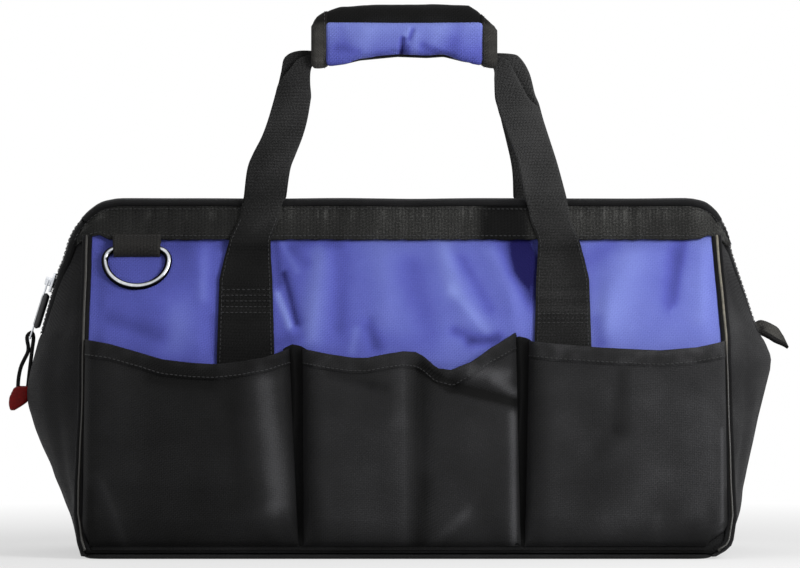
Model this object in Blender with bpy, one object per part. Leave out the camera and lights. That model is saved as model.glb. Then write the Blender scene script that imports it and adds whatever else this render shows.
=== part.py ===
# Soft tool bag with a wide zipped mouth, outside pockets, two webbing handles and a shared hand grip.
# Metres, +Z up. The origin is the centre of the base's underside, the front faces -Y, +X is to its right.

from math import atan2, cos, hypot, pi, radians, sin

import bmesh
import bpy
from mathutils import Matrix, Vector

for item in list(bpy.data.objects):
    bpy.data.objects.remove(item, do_unlink=True)

# Body of the bag
HALF_WIDTH = 0.228
HALF_DEPTH = 0.115
WALL_TOP_HEIGHT = 0.2445
RIDGE_RISE = 0.005
RIDGE_HALF_GAP = 0.014
HINGE_HEIGHT = 0.0045
CORNER_RADIUS = 0.028
CORNER_ANGLES = (90, 70, 50, 32, 15)
FIT = 0.0003

# Fabric and webbing, from the inside out
PANEL_THICK = 0.003
SKIN_THICK = 0.0015
TAB_LEAF_THICK = 0.0016
BAND_THICK = 0.0017
STRAP_THICK = 0.002
GUSSET_THICK = 0.0025
POCKET_THICK = 0.002
HEM_THICK = 0.0012

# Base
BASE_THICK = 0.003
BASE_OVERHANG_X = 0.0025
BASE_OVERHANG_Y = 0.003
BASE_CORNER = 0.012
BASE_CORNER_STEP = 15
BOARD_THICK = 0.003
BOARD_INSET = 0.014

# Outer skin and top band
SKIN_BOTTOM = 0.004
SKIN_TOP_INSET = 0.010
SKIN_SIDE_INSET = 0.001
BAND_HEIGHT = 0.027
SLEEVE_NEAR = 0.0088

# Steel frame wire
WIRE_RADIUS = 0.0025
WIRE_DEPTH = 0.006
WIRE_SIDE_INSET = 0.010
WIRE_TOP_INSET = 0.0085
WIRE_BEND = 0.022
WIRE_FOOT = 0.012

# Piping
PIPING_RADIUS = 0.002
PIPING_BOTTOM = 0.006
PIPING_TOP_INSET = 0.032

# Pockets
POCKET_BOTTOM = 0.008
POCKET_RIM_SHARE = 0.5453
POCKET_DEPTH = 0.017
HEM_HEIGHT = 0.011
# A pocket's left and right edges at the bottom and at the rim, as shares of the half width
POCKET_EDGE_SHARES = {
    "left": ((-0.9825, -0.3224), (-0.9825, -0.3618)),
    "middle": ((-0.3070, 0.3553), (-0.3026, 0.3311)),
    "right": ((0.3728, 0.9868), (0.3728, 0.9868)),
}
DIVIDER_SHARE = 0.029
DIVIDER_HALF_WIDTH = 0.008
RIM_SAG = 0.013
# Across a pocket: share of its width, share of its depth, share of the rim's sag
PLAIN_ACROSS_SHARES = (
    (0.0, 0.0, 0.0), (0.0, 0.55, 0.0), (0.02, 0.84, 0.05), (0.08, 0.96, 0.2), (0.25, 1.0, 0.6),
    (0.5, 1.0, 0.95), (0.72, 0.97, 1.0), (0.92, 0.93, 0.5), (0.98, 0.82, 0.2), (1.0, 0.55, 0.1),
    (1.0, 0.0, 0.1),
)
DIVIDED_ACROSS_SHARES = (
    (0.0, 0.0, 0.1), (0.0, 0.55, 0.1), (0.04, 0.86, 0.15), (0.16, 0.96, 0.3), (0.5, 1.0, 0.4),
    (0.9, 0.9, 0.45), (1.0, 0.25, 0.4),
)
# Up a pocket: share of its height, share of its depth
POCKET_UP_SHARES = ((0.0, 0.0), (0.04, 0.45), (0.12, 0.8), (0.35, 1.0), (0.7, 1.0), (1.0, 0.9))

# Sewn straps, with their places across the wall as shares of the half width
STRAP_WIDTH = 0.038
STRAP_X_SHARE = 0.489
STRAP_TOP_X_SHARE = 0.4364
STRAP_BOTTOM = 0.016
STRAP_TOP_WIDTH = 0.034
STRAP_STEP = 0.004

# Outline of the bag's ends. Up the gusset and the fixed end of the zip: share of the ridge's height, share of
# the bulge. Round the top corner: shares of its radius below the ridge and out from the half width.
END_BULGE = 0.034
GUSSET_LINE_SHARES = (
    (0.0, -0.044), (0.0802, 0.088), (0.2285, 0.5), (0.3487, 0.853), (0.4529, 1.0), (0.6012, 0.9265),
)
ZIP_END_SHARES = ((0.6212, 0.8824), (0.8517, 0.3529))
END_CORNER_SHARES = ((0.839, 0.232), (0.393, -0.018), (0.143, -0.304), (0.025, -0.643), (0.0, -1.0))

# End gussets and the flaps over them
GUSSET_EDGE_INSET = 0.0005
GUSSET_ROWS = 9
GUSSET_ACROSS_SHARES = (-1.0, -0.92, -0.78, -0.56, -0.28, 0.0, 0.28, 0.56, 0.78, 0.92, 1.0)
GUSSET_FULLNESS_POWER = 2.2
GUSSET_EDGE_POWER = 0.8
FLAP_TOP_SHARE = 0.982
FLAP_ROWS = 6
FLAP_COLUMNS = 4

# Zip
TAPE_THICK = 0.001
TAPE_INNER = 0.0025
TAPE_OUTER = 0.0175
TAPE_DROP = 0.0007
TEETH_THICK = 0.0024
TEETH_FACE_GAP = 0.0002
ZIP_END_HALF_WIDTH = 0.0165
ZIP_END_SLIT = 0.002
ZIP_END_CLOSED = 0.010
FLAP_TAPE_GAP = 0.0004

# Slider and its pull
SLIDER_PLACE = 0.0370
SLIDER_LENGTH = 0.014
SLIDER_WIDTH = 0.011
SLIDER_PLATE = 0.002
SLIDER_POST_LENGTH = 0.006
SLIDER_POST_WIDTH = 0.003
LUG_HEIGHT = 0.0045
LUG_LENGTH = 0.006
PULL_AXIS_HEIGHT = 0.0058
PULL_LENGTH = 0.043
PULL_WIDTH = 0.009
PULL_THICK = 0.0012
PULL_FORK_DEPTH = 0.007
PULL_HOLE_PLACE = 0.0385
PULL_HOLE = 0.004
PULL_CORD_RADIUS = 0.0012
CORD_SAMPLES = 36

# The cord's loop through the tab and its moulded tip, as distances out and up from the tab's lower end
CORD_FEET_OUT = (0.0085, 0.0027)
CORD_LOOP = (
    (0.0085, -0.0245), (0.0072, -0.0120), (0.0044, -0.0030), (0.0018, 0.0022), (-0.0013, 0.0047),
    (-0.0026, 0.0009), (-0.0015, -0.0060), (0.0009, -0.0160), (0.0025, -0.0250),
)
TIP_DROP = 0.031
TIP_HEIGHT = 0.0185
TIP_IN = -0.0008
TIP_WIDTH = 0.013
TIP_HALF_THICK = 0.004
TIP_ROUND = 0.004

# Webbing tongue at the right end of the zip, as distances out and up from the zip's lower end
TONGUE_HALF_WIDTH = 0.0125
TONGUE_THICK = 0.0035
TONGUE_LINE = ((0.0005, 0.0042), (0.0060, 0.0040), (0.0100, 0.0010), (0.0125, -0.0060))

# D-rings
RING_FROM_SIDE = 0.0395
RING_BELOW_TOP = 0.0350
RING_HALF_WIDTH = 0.022
RING_SIDE = 0.004
RING_CORNER = 0.005
RING_BOW_SHARE = 0.8
RING_WIRE_RADIUS = 0.0025
TAB_WIDTH = 0.034
TAB_LOOP_THICK = 0.0013
TAB_TUCK = 0.018
TAB_WRAP = 285

# Handles. Up a leg: share of the way out from the grip's corner to the strap, share of the leg's height.
HANDLE_HINGE_BELOW_TOP = 0.001
HANDLE_RISE = 0.1388
HANDLE_LEG_SHARES = ((1.0, 0.0), (0.9, 0.153), (0.697, 0.328), (0.328, 0.5465), (0.0657, 0.8306))
HANDLE_LEG_WIDTHS = (0.034, 0.031, 0.028, 0.027, 0.027)
# Round the corner into the grip: distance out from the grip's end and down from the hand's line, width
HANDLE_CORNER = (
    (0.0142, 0.0277, 0.024), (0.0130, 0.0167, 0.021), (0.0085, 0.0072, 0.020), (0.0010, 0.0012, 0.020),
    (-0.0095, 0.0, 0.020),
)
HAND_WIDTH = 0.020
HAND_BELOW_TOP = 0.0205
HANDLE_LEAN_SHARE = 0.755
HAND_WEB_FACE = 0.0003
KNUCKLE_SHARES = ((0.5, 0.3), (0.3, 0.8))

# Hand grip, each half on its own handle
GRIP_HALF_LENGTH = 0.0655
GRIP_HEIGHT = 0.043
GRIP_ARCH = 0.009
GRIP_DEPTH = 0.0095
GRIP_FACE = 0.0002
GRIP_LIP = 0.0022
GRIP_ROUND = 0.010
# Round the grip's edges: share of its depth, share of the round's height
GRIP_ROUND_SHARES = ((0.55, 0.04), (0.9, 0.4), (1.0, 1.0))
PAD_THICK = 0.003
PAD_TOP_DROP = 0.0105
BINDING_LENGTH = 0.011
BINDING_THICK = 0.0015
GRIP_PLACES = 9

# Sides of round pieces
WIRE_SIDES = 8

WALL_LEAN = atan2(HALF_DEPTH - RIDGE_HALF_GAP, WALL_TOP_HEIGHT - HINGE_HEIGHT)
WALL_LENGTH = hypot(HALF_DEPTH - RIDGE_HALF_GAP, WALL_TOP_HEIGHT - HINGE_HEIGHT)

# Sizes that follow from the body
RIDGE_HEIGHT = WALL_TOP_HEIGHT + RIDGE_RISE
POCKET_RIM = WALL_LENGTH * POCKET_RIM_SHARE
DIVIDER_X = HALF_WIDTH * DIVIDER_SHARE
STRAP_X = HALF_WIDTH * STRAP_X_SHARE
STRAP_TOP_X = HALF_WIDTH * STRAP_TOP_X_SHARE
RING_X = HALF_WIDTH - RING_FROM_SIDE
FLAP_TOP = RIDGE_HEIGHT - CORNER_RADIUS * FLAP_TOP_SHARE

# Places of the layers out from the wall's outer face
SKIN_OUTER = FIT + SKIN_THICK
ON_SKIN = SKIN_OUTER + FIT
BAND_INNER = ON_SKIN + TAB_LEAF_THICK + FIT
BAND_OUTER = BAND_INNER + BAND_THICK
ON_BAND = BAND_OUTER + FIT
ON_STRAP = ON_BAND + STRAP_THICK + FIT
BAND_BOTTOM = WALL_LENGTH - BAND_HEIGHT

LOOKS = {
    "black_fabric": ((0.020, 0.020, 0.022), 0.9, 0.0),
    "blue_fabric": ((0.130, 0.155, 0.530), 0.85, 0.0),
    "black_webbing": ((0.030, 0.030, 0.031), 0.8, 0.0),
    "black_trim": ((0.014, 0.014, 0.015), 0.6, 0.0),
    "steel": ((0.60, 0.60, 0.62), 0.25, 1.0),
    "black_nylon": ((0.012, 0.012, 0.012), 0.45, 0.0),
    "red_rubber": ((0.110, 0.004, 0.004), 0.5, 0.0),
    "base_board": ((0.045, 0.045, 0.045), 0.7, 0.0),
}


def make_look(name):
    """One Principled material."""
    colour, roughness, metallic = LOOKS[name]
    material = bpy.data.materials.new(name)
    material.use_nodes = True
    shader = material.node_tree.nodes["Principled BSDF"]
    shader.inputs["Base Color"].default_value = (*colour, 1.0)
    shader.inputs["Roughness"].default_value = roughness
    shader.inputs["Metallic"].default_value = metallic
    return material


def make_pivot(name, place, parent=None):
    """An empty on a joint's axis. Everything that moves with the joint hangs from it."""
    pivot = bpy.data.objects.new(name, None)
    bpy.context.collection.objects.link(pivot)
    pivot.location = place
    if parent:
        pivot.parent = parent
        pivot.location = place - world_place[parent.name]
    world_place[name] = Vector(place)
    return pivot


def hang(item, pivot):
    """Parents a piece, drawn in world places, to a pivot without moving it."""
    item.parent = pivot
    item.matrix_parent_inverse = Matrix.Translation(-world_place[pivot.name])


def finish_piece(name, mesh_data, look, pivot):
    item = bpy.data.objects.new(name, mesh_data)
    bpy.context.collection.objects.link(item)
    item.data.materials.append(make_look(look))
    if pivot:
        hang(item, pivot)
    return item


def ring_solid(name, rings, look, pivot=None, joined=False):
    """A closed solid through rings of points, capped at both ends or joined end to end."""
    bm = bmesh.new()
    made = [[bm.verts.new(point) for point in ring] for ring in rings]
    pairs = list(zip(made, made[1:]))
    if joined:
        pairs.append((made[-1], made[0]))
    for low, high in pairs:
        for here in range(len(low)):
            after = (here + 1) % len(low)
            bm.faces.new((low[here], low[after], high[after], high[here]))
    if not joined:
        bm.faces.new(made[0])
        bm.faces.new(made[-1])
    bmesh.ops.recalc_face_normals(bm, faces=bm.faces)
    data = bpy.data.meshes.new(name)
    bm.to_mesh(data)
    bm.free()
    return finish_piece(name, data, look, pivot)


def combine(target, guide, operation):
    """Adds or cuts a guide solid, which itself isn't part of the object."""
    guide.hide_render = True
    guide.display_type = "WIRE"
    step = target.modifiers.new(operation.lower(), "BOOLEAN")
    step.object = guide
    step.operation = operation
    step.solver = "EXACT"


def smooth_step(share):
    share = min(max(share, 0.0), 1.0)
    return share * share * (3 - 2 * share)


def mix(low, high, share):
    return low + (high - low) * share


def on_wall(side, x, up, out):
    """A place on a wall: across it, up its slope and out from its outer face. side is -1 at the front."""
    y = HALF_DEPTH - up * sin(WALL_LEAN) + out * cos(WALL_LEAN)
    z = HINGE_HEIGHT + up * cos(WALL_LEAN) + out * sin(WALL_LEAN)
    return Vector((x, side * y, z))


def wall_inside_y(z):
    """How far the wall's inner face is from the centre plane at a height."""
    out = -PANEL_THICK - FIT
    up = (z - HINGE_HEIGHT - out * sin(WALL_LEAN)) / cos(WALL_LEAN)
    return HALF_DEPTH - up * sin(WALL_LEAN) + out * cos(WALL_LEAN)


def bulge_places(shares):
    """Places up the bag's end, as height and distance from the centre."""
    return [(RIDGE_HEIGHT * up, HALF_WIDTH + END_BULGE * out) for up, out in shares]


GUSSET_LINE = bulge_places(GUSSET_LINE_SHARES)
ZIP_END_LINE = bulge_places(ZIP_END_SHARES)
CORNER_LINE = [
    (RIDGE_HEIGHT - CORNER_RADIUS * down, HALF_WIDTH + CORNER_RADIUS * out) for down, out in END_CORNER_SHARES
]
END_LINE = GUSSET_LINE + ZIP_END_LINE + CORNER_LINE
GUSSET_TOP = GUSSET_LINE[-1][0]


def end_reach(z):
    """How far the bag's end reaches from the centre at a height."""
    for (low_z, low_x), (high_z, high_x) in zip(END_LINE, END_LINE[1:]):
        if z <= high_z:
            return mix(low_x, high_x, (z - low_z) / (high_z - low_z))
    return END_LINE[-1][1]


def tube_rings(points, radius, across, joined=False):
    """Round rings along a line, turned so that one side keeps facing across."""
    rings = []
    for here, point in enumerate(points):
        before = points[here - 1] if here or joined else point
        after = points[(here + 1) % len(points)] if here + 1 < len(points) or joined else point
        along = (after - before).normalized()
        first = across.cross(along).normalized()
        second = along.cross(first)
        turns = [2 * pi * (side + 0.5) / WIRE_SIDES for side in range(WIRE_SIDES)]
        rings.append([point + first * radius * cos(turn) + second * radius * sin(turn) for turn in turns])
    return rings


def strip_ring(place, along, width, thick, facing):
    """A flat strap's section, square to its line."""
    across = along.cross(facing).normalized()
    out = across.cross(along).normalized()
    corners = ((-1, -1), (1, -1), (1, 1), (-1, 1))
    return [place + across * side * width / 2 + out * face * thick / 2 for side, face in corners]


def curve_places(points, count):
    """Evenly stepped places on a smooth curve through the points."""
    padded = [points[0] * 2 - points[1], *points, points[-1] * 2 - points[-2]]
    spans = len(points) - 1
    places = []
    for step in range(count):
        along = step * spans / (count - 1)
        span = min(int(along), spans - 1)
        share = along - span
        a, b, c, d = padded[span:span + 4]
        bend = (a * 2 - b * 5 + c * 4 - d) * share * share
        twist = (b * 3 - a - c * 3 + d) * share * share * share
        places.append((b * 2 + (c - a) * share + bend + twist) / 2)
    return places


# Base

def rounded_plate(name, half_x, half_y, corner, bottom, thick, look):
    outline = []
    for turn in range(0, 360, BASE_CORNER_STEP):
        angle = radians(turn + BASE_CORNER_STEP / 2)
        x = (half_x - corner) * (1 if cos(angle) > 0 else -1) + corner * cos(angle)
        y = (half_y - corner) * (1 if sin(angle) > 0 else -1) + corner * sin(angle)
        outline.append((x, y))
    return ring_solid(name, [[Vector((x, y, z)) for x, y in outline] for z in (bottom, bottom + thick)], look)


def make_base():
    half_x = HALF_WIDTH + BASE_OVERHANG_X
    half_y = HALF_DEPTH + BASE_OVERHANG_Y
    rounded_plate("base_panel", half_x, half_y, BASE_CORNER, 0, BASE_THICK, "black_fabric")
    half_x = HALF_WIDTH - BOARD_INSET
    half_y = HALF_DEPTH - BOARD_INSET
    bottom = BASE_THICK + FIT
    rounded_plate("base_board", half_x, half_y, BASE_CORNER, bottom, BOARD_THICK, "base_board")


# End gussets and the flaps over them

def end_surface(z, across):
    """The bulging end of the bag, as distance from the centre and from the centre plane."""
    edge = HALF_WIDTH - GUSSET_EDGE_INSET
    fullness = (1 - abs(across) ** GUSSET_FULLNESS_POWER) ** GUSSET_EDGE_POWER
    return mix(edge, end_reach(z), fullness), across * wall_inside_y(z)


def end_sheet_rings(end, rows):
    """Rings of a sheet on the bag's end, from rows of outer places."""
    rings = []
    for row in rows:
        outer = [Vector((end * x, y, z)) for x, y, z in row]
        inner = [Vector((end * (x - GUSSET_THICK), y, z)) for x, y, z in reversed(row)]
        rings.append(outer + inner)
    return rings


def make_gusset(end, label):
    rows = []
    bottom = BASE_THICK + FIT
    for step in range(GUSSET_ROWS):
        z = mix(bottom, GUSSET_TOP, step / (GUSSET_ROWS - 1))
        rows.append([(*end_surface(z, across), z) for across in GUSSET_ACROSS_SHARES])
    ring_solid(f"end_gusset_{label}", end_sheet_rings(end, rows), "black_fabric")


def make_flap(side, end, name, pivot):
    rows = []
    for step in range(FLAP_ROWS):
        z = mix(GUSSET_TOP + FIT, FLAP_TOP, step / (FLAP_ROWS - 1))
        low_share = (TAPE_OUTER + FLAP_TAPE_GAP) / wall_inside_y(z)
        row = []
        for column in range(FLAP_COLUMNS):
            x, y = end_surface(z, mix(low_share, 1, column / (FLAP_COLUMNS - 1)))
            row.append((x, side * y, z))
        rows.append(row)
    ring_solid(name, end_sheet_rings(end, rows), "black_fabric", pivot)


# Fixed lower ends of the zip

ZIP_END_LOW, ZIP_END_HIGH = [Vector((x, 0, z)) for z, x in ZIP_END_LINE]
ZIP_END_ALONG = (ZIP_END_HIGH - ZIP_END_LOW).normalized()
ZIP_END_OUT = Vector((ZIP_END_ALONG.z, 0, -ZIP_END_ALONG.x))


def on_zip_end(end, along, y, out):
    """A place on the straight stretch of zip at an end of the bag."""
    place = ZIP_END_LOW + ZIP_END_ALONG * along + ZIP_END_OUT * out
    return Vector((end * place.x, y, place.z))


def box_on_zip_end(name, end, along, y, out, look, pivot=None):
    """A block square to the zip, from pairs of limits."""
    rings = []
    for place in along:
        corners = ((y[0], out[0]), (y[1], out[0]), (y[1], out[1]), (y[0], out[1]))
        rings.append([on_zip_end(end, place, across, height) for across, height in corners])
    return ring_solid(name, rings, look, pivot)


def make_zip_end(end, label):
    length = (ZIP_END_HIGH - ZIP_END_LOW).length - FIT
    half = ZIP_END_HALF_WIDTH
    slit = ZIP_END_SLIT
    outline = (
        (0, -half), (length, -half), (length, -slit), (ZIP_END_CLOSED, -slit),
        (ZIP_END_CLOSED, slit), (length, slit), (length, half), (0, half),
    )
    rings = [[on_zip_end(end, along, y, out) for along, y in outline] for out in (0, TAPE_THICK)]
    ring_solid(f"zip_end_{label}", rings, "black_trim")


def make_tongue():
    points = [ZIP_END_LOW + Vector((out, 0, up)) for out, up in TONGUE_LINE]
    rings = []
    for here, point in enumerate(points):
        along = points[min(here + 1, len(points) - 1)] - points[max(here - 1, 0)]
        out = Vector((-along.z, 0, along.x)).normalized()
        rings.append(strip_ring(point, along.normalized(), 2 * TONGUE_HALF_WIDTH, TONGUE_THICK, out))
    ring_solid("zip_end_tab", rings, "black_webbing")


# Walls

def wall_columns():
    """Places across the wall with the height of its rounded top there."""
    corner = []
    for angle in reversed((*CORNER_ANGLES, 0)):
        x = HALF_WIDTH - CORNER_RADIUS * (1 - cos(radians(angle)))
        corner.append((x, WALL_LENGTH - CORNER_RADIUS * (1 - sin(radians(angle)))))
    left = [(-x, top) for x, top in corner]
    return left + list(reversed(corner))


def make_wall_panel(side, name, pivot):
    rings = []
    for x, top in wall_columns():
        corners = ((0, 0), (top, 0), (top, -PANEL_THICK), (0, -PANEL_THICK))
        rings.append([on_wall(side, x, up, out) for up, out in corners])
    ring_solid(name, rings, "black_fabric", pivot)


def make_skin(side, name, pivot):
    rings = []
    narrowing = (HALF_WIDTH - SKIN_SIDE_INSET) / HALF_WIDTH
    for x, top in wall_columns():
        high = top - SKIN_TOP_INSET
        corners = ((SKIN_BOTTOM, SKIN_OUTER), (high, SKIN_OUTER), (high, FIT), (SKIN_BOTTOM, FIT))
        rings.append([on_wall(side, x * narrowing, up, out) for up, out in corners])
    ring_solid(name, rings, "blue_fabric", pivot)


def make_band(side, name, pivot):
    """The webbing hem, folded over the wall's top edge and round the frame wire."""
    far = -SLEEVE_NEAR - BAND_THICK
    rings = []
    for x, top in wall_columns()[1:-1]:
        under = top + FIT
        over = under + BAND_THICK
        section = (
            (BAND_BOTTOM, BAND_OUTER), (over, BAND_OUTER), (over, far), (BAND_BOTTOM, far),
            (BAND_BOTTOM, -SLEEVE_NEAR), (under, -SLEEVE_NEAR), (under, BAND_INNER), (BAND_BOTTOM, BAND_INNER),
        )
        rings.append([on_wall(side, x, up, out) for up, out in section])
    ring_solid(name, rings, "black_webbing", pivot)


def make_wire(side, name, pivot):
    x = HALF_WIDTH - WIRE_SIDE_INSET
    top = WALL_LENGTH - WIRE_TOP_INSET
    line = [(-x, WIRE_FOOT)]
    for turn in range(0, 91, 15):
        angle = radians(turn)
        line.append((-x + WIRE_BEND * (1 - cos(angle)), top - WIRE_BEND * (1 - sin(angle))))
    line += [(-across, up) for across, up in reversed(line)]
    points = [on_wall(side, across, up, -WIRE_DEPTH) for across, up in line]
    out = on_wall(side, 0, 0, 1) - on_wall(side, 0, 0, 0)
    ring_solid(name, tube_rings(points, WIRE_RADIUS, out), "steel", pivot)


def make_piping(side, end, name, pivot):
    x = end * (HALF_WIDTH + FIT + PIPING_RADIUS)
    top = WALL_LENGTH - PIPING_TOP_INSET
    points = [on_wall(side, x, up, -PANEL_THICK / 2) for up in (PIPING_BOTTOM, top)]
    ring_solid(name, tube_rings(points, PIPING_RADIUS, Vector((1, 0, 0))), "black_trim", pivot)


def make_strap(side, end, name, pivot):
    """The sewn part of a carrying strap. It steps out where it passes over the top band."""
    low = ON_SKIN + STRAP_THICK / 2
    high = ON_BAND + STRAP_THICK / 2
    end_up = WALL_LENGTH - HANDLE_HINGE_BELOW_TOP - STRAP_THICK / 2 - FIT
    line = (
        (STRAP_X, STRAP_BOTTOM, low, STRAP_WIDTH),
        (STRAP_X, BAND_BOTTOM - 3 * STRAP_STEP, low, STRAP_WIDTH),
        (STRAP_X, BAND_BOTTOM - STRAP_STEP, low, STRAP_WIDTH),
        (STRAP_X, BAND_BOTTOM - FIT, high, STRAP_WIDTH),
        (STRAP_TOP_X, end_up, high, STRAP_TOP_WIDTH),
    )
    rings = []
    for x, up, out, width in line:
        corners = ((-1, -1), (1, -1), (1, 1), (-1, 1))
        rings.append([
            on_wall(side, end * x + across * width / 2, up, out + face * STRAP_THICK / 2)
            for across, face in corners
        ])
    ring_solid(name, rings, "black_webbing", pivot)


# Pockets

def across_shares(label):
    """The pocket's section across, as shares. The middle one dips to the wall at its centre seam."""
    if label != "middle":
        return PLAIN_ACROSS_SHARES
    low, high = [HALF_WIDTH * share for share in POCKET_EDGE_SHARES[label][0]]
    seam_low = (DIVIDER_X - DIVIDER_HALF_WIDTH - low) / (high - low)
    seam_high = (high - DIVIDER_X - DIVIDER_HALF_WIDTH) / (high - low)
    left = [(share * seam_low, depth, sag) for share, depth, sag in DIVIDED_ACROSS_SHARES]
    right = [(1 - share * seam_high, depth, sag) for share, depth, sag in DIVIDED_ACROSS_SHARES]
    return left + list(reversed(right))


def pocket_ring(side, label, height_share, depth, grow, thick):
    """A U-shaped ring of a pocket's sheet, open towards the wall. grow moves it out from the pocket's face."""
    bottom_shares, rim_shares = POCKET_EDGE_SHARES[label]
    left, right = [HALF_WIDTH * mix(low, rim, height_share) for low, rim in zip(bottom_shares, rim_shares)]
    outer = []
    inner = []
    for share, fullness, sag in across_shares(label):
        rim = POCKET_RIM - RIM_SAG * sag
        up = mix(POCKET_BOTTOM, rim, height_share)
        sheet = POCKET_THICK * min(fullness * 2, 1) + (depth - POCKET_THICK) * fullness
        lift = sheet + grow * min(fullness * 4, 1)
        x = mix(left - grow, right + grow, share)
        inset = mix(left - grow + thick, right + grow - thick, share)
        outer.append(on_wall(side, x, up, ON_SKIN + lift))
        inner.append(on_wall(side, inset, up, ON_SKIN + max(lift - thick, 0)))
    return outer + list(reversed(inner))


def make_pocket(side, label, name, pivot):
    rings = []
    for height_share, depth_share in POCKET_UP_SHARES:
        depth = mix(POCKET_THICK, POCKET_DEPTH, depth_share)
        rings.append(pocket_ring(side, label, height_share, depth, 0, POCKET_THICK))
    ring_solid(name, rings, "black_fabric", pivot)


def make_hem(side, label, name, pivot):
    """A folded tape round the outside of a pocket's rim."""
    low_share = 1 - HEM_HEIGHT / (POCKET_RIM - POCKET_BOTTOM)
    (before_share, before_depth), (_, rim_depth) = POCKET_UP_SHARES[-2:]
    low_depth = mix(before_depth, rim_depth, (low_share - before_share) / (1 - before_share))
    rings = []
    for height_share, depth_share in ((low_share, low_depth), (1, rim_depth)):
        depth = mix(POCKET_THICK, POCKET_DEPTH, depth_share)
        rings.append(pocket_ring(side, label, height_share, depth, FIT + HEM_THICK, HEM_THICK))
    ring_solid(name, rings, "black_webbing", pivot)


# Zip halves

def zip_path():
    """The free zip's line over the ridge, from the left end to the right, with its outward direction."""
    right = [ZIP_END_HIGH] + [Vector((x, 0, z)) for z, x in CORNER_LINE]
    left = [Vector((-place.x, 0, place.z)) for place in right]
    points = left + list(reversed(right))
    path = []
    for here, point in enumerate(points):
        along = points[min(here + 1, len(points) - 1)] - points[max(here - 1, 0)]
        path.append((point, Vector((-along.z, 0, along.x)).normalized()))
    return path


def make_zip_half(side, label, pivot):
    tape = []
    teeth = []
    for point, out in zip_path():
        inner = Vector((0, side * TAPE_INNER, 0))
        outer = Vector((0, side * TAPE_OUTER, 0)) - out * TAPE_DROP
        tape.append([
            point + inner, point + outer,
            point + outer + out * TAPE_THICK, point + inner + out * TAPE_THICK,
        ])
        near = Vector((0, side * TEETH_FACE_GAP, 0))
        far = Vector((0, side * (TAPE_INNER - FIT), 0))
        low = out * (TAPE_THICK - TEETH_THICK) / 2
        high = out * (TAPE_THICK + TEETH_THICK) / 2
        teeth.append([point + near + low, point + far + low, point + far + high, point + near + high])
    ring_solid(f"{label}_zip_tape", tape, "black_trim", pivot)
    ring_solid(f"{label}_zip_teeth", teeth, "black_nylon", pivot)


# Slider, pull and its cord

def make_slider(pivot):
    low = SLIDER_PLACE - SLIDER_LENGTH / 2
    high = SLIDER_PLACE + SLIDER_LENGTH / 2
    half = SLIDER_WIDTH / 2
    face = TAPE_THICK + FIT
    slider = box_on_zip_end("zip_slider", -1, (low, high), (-half, half), (face, face + SLIDER_PLATE), "steel", pivot)
    inner = box_on_zip_end("slider_inner_plate", -1, (low, high), (-half, half), (-FIT - SLIDER_PLATE, -FIT), "steel")
    post_low = SLIDER_PLACE - SLIDER_POST_LENGTH / 2
    post_high = SLIDER_PLACE + SLIDER_POST_LENGTH / 2
    post_half = SLIDER_POST_WIDTH / 2
    middle = SLIDER_PLATE / 2
    post = box_on_zip_end(
        "slider_post", -1, (post_low, post_high), (-post_half, post_half), (-FIT - middle, face + middle), "steel"
    )
    lug_low = SLIDER_PLACE - LUG_LENGTH / 2
    lug_high = SLIDER_PLACE + LUG_LENGTH / 2
    lug_top = face + SLIDER_PLATE + LUG_HEIGHT
    lug = box_on_zip_end(
        "slider_lug", -1, (lug_low, lug_high), (-post_half, post_half), (face + middle, lug_top), "steel"
    )
    for guide in (post, inner, lug):
        combine(slider, guide, "UNION")


def make_pull(pivot):
    """A flat tab, forked round the slider's lug, with a slot for the cord."""
    half = PULL_WIDTH / 2
    face = (PULL_AXIS_HEIGHT - PULL_THICK / 2, PULL_AXIS_HEIGHT + PULL_THICK / 2)
    top = SLIDER_PLACE + PULL_THICK / 2
    tab = box_on_zip_end("pull_tab", -1, (SLIDER_PLACE - PULL_LENGTH, top), (-half, half), face, "steel", pivot)
    clear = SLIDER_POST_WIDTH / 2 + FIT
    reach = (face[0] - PULL_THICK, face[1] + PULL_THICK)
    notch = (SLIDER_PLACE - PULL_FORK_DEPTH, top + PULL_THICK)
    fork = box_on_zip_end("pull_fork_cut", -1, notch, (-clear, clear), reach, "steel")
    place = SLIDER_PLACE - PULL_HOLE_PLACE
    slot = (place - PULL_HOLE / 2, place + PULL_HOLE / 2)
    hole = box_on_zip_end("pull_hole_cut", -1, slot, (-PULL_HOLE / 2, PULL_HOLE / 2), reach, "steel")
    for guide in (fork, hole):
        combine(tab, guide, "DIFFERENCE")


def off_tab(out, y, up):
    """A place by the tab's lower end."""
    end = on_zip_end(-1, SLIDER_PLACE - PULL_LENGTH, 0, PULL_AXIS_HEIGHT)
    return end + Vector((-out, y, up))


def cord_route():
    """The pull's cord: up one side of the tab, through its slot and down the other side."""
    first, last = [off_tab(out, 0, FIT - TIP_DROP) for out in CORD_FEET_OUT]
    return [first, *(off_tab(out, 0, up) for out, up in CORD_LOOP), last]


def make_cord(pivot):
    data = bpy.data.curves.new("pull_cord", "CURVE")
    data.dimensions = "3D"
    data.bevel_depth = PULL_CORD_RADIUS
    data.bevel_resolution = 2
    data.use_fill_caps = True
    places = curve_places(cord_route(), CORD_SAMPLES)
    spline = data.splines.new("POLY")
    spline.points.add(len(places) - 1)
    for point, place in zip(spline.points, places):
        point.co = (*place, 1)
    finish_piece("pull_cord", data, "black_nylon", pivot)


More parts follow.
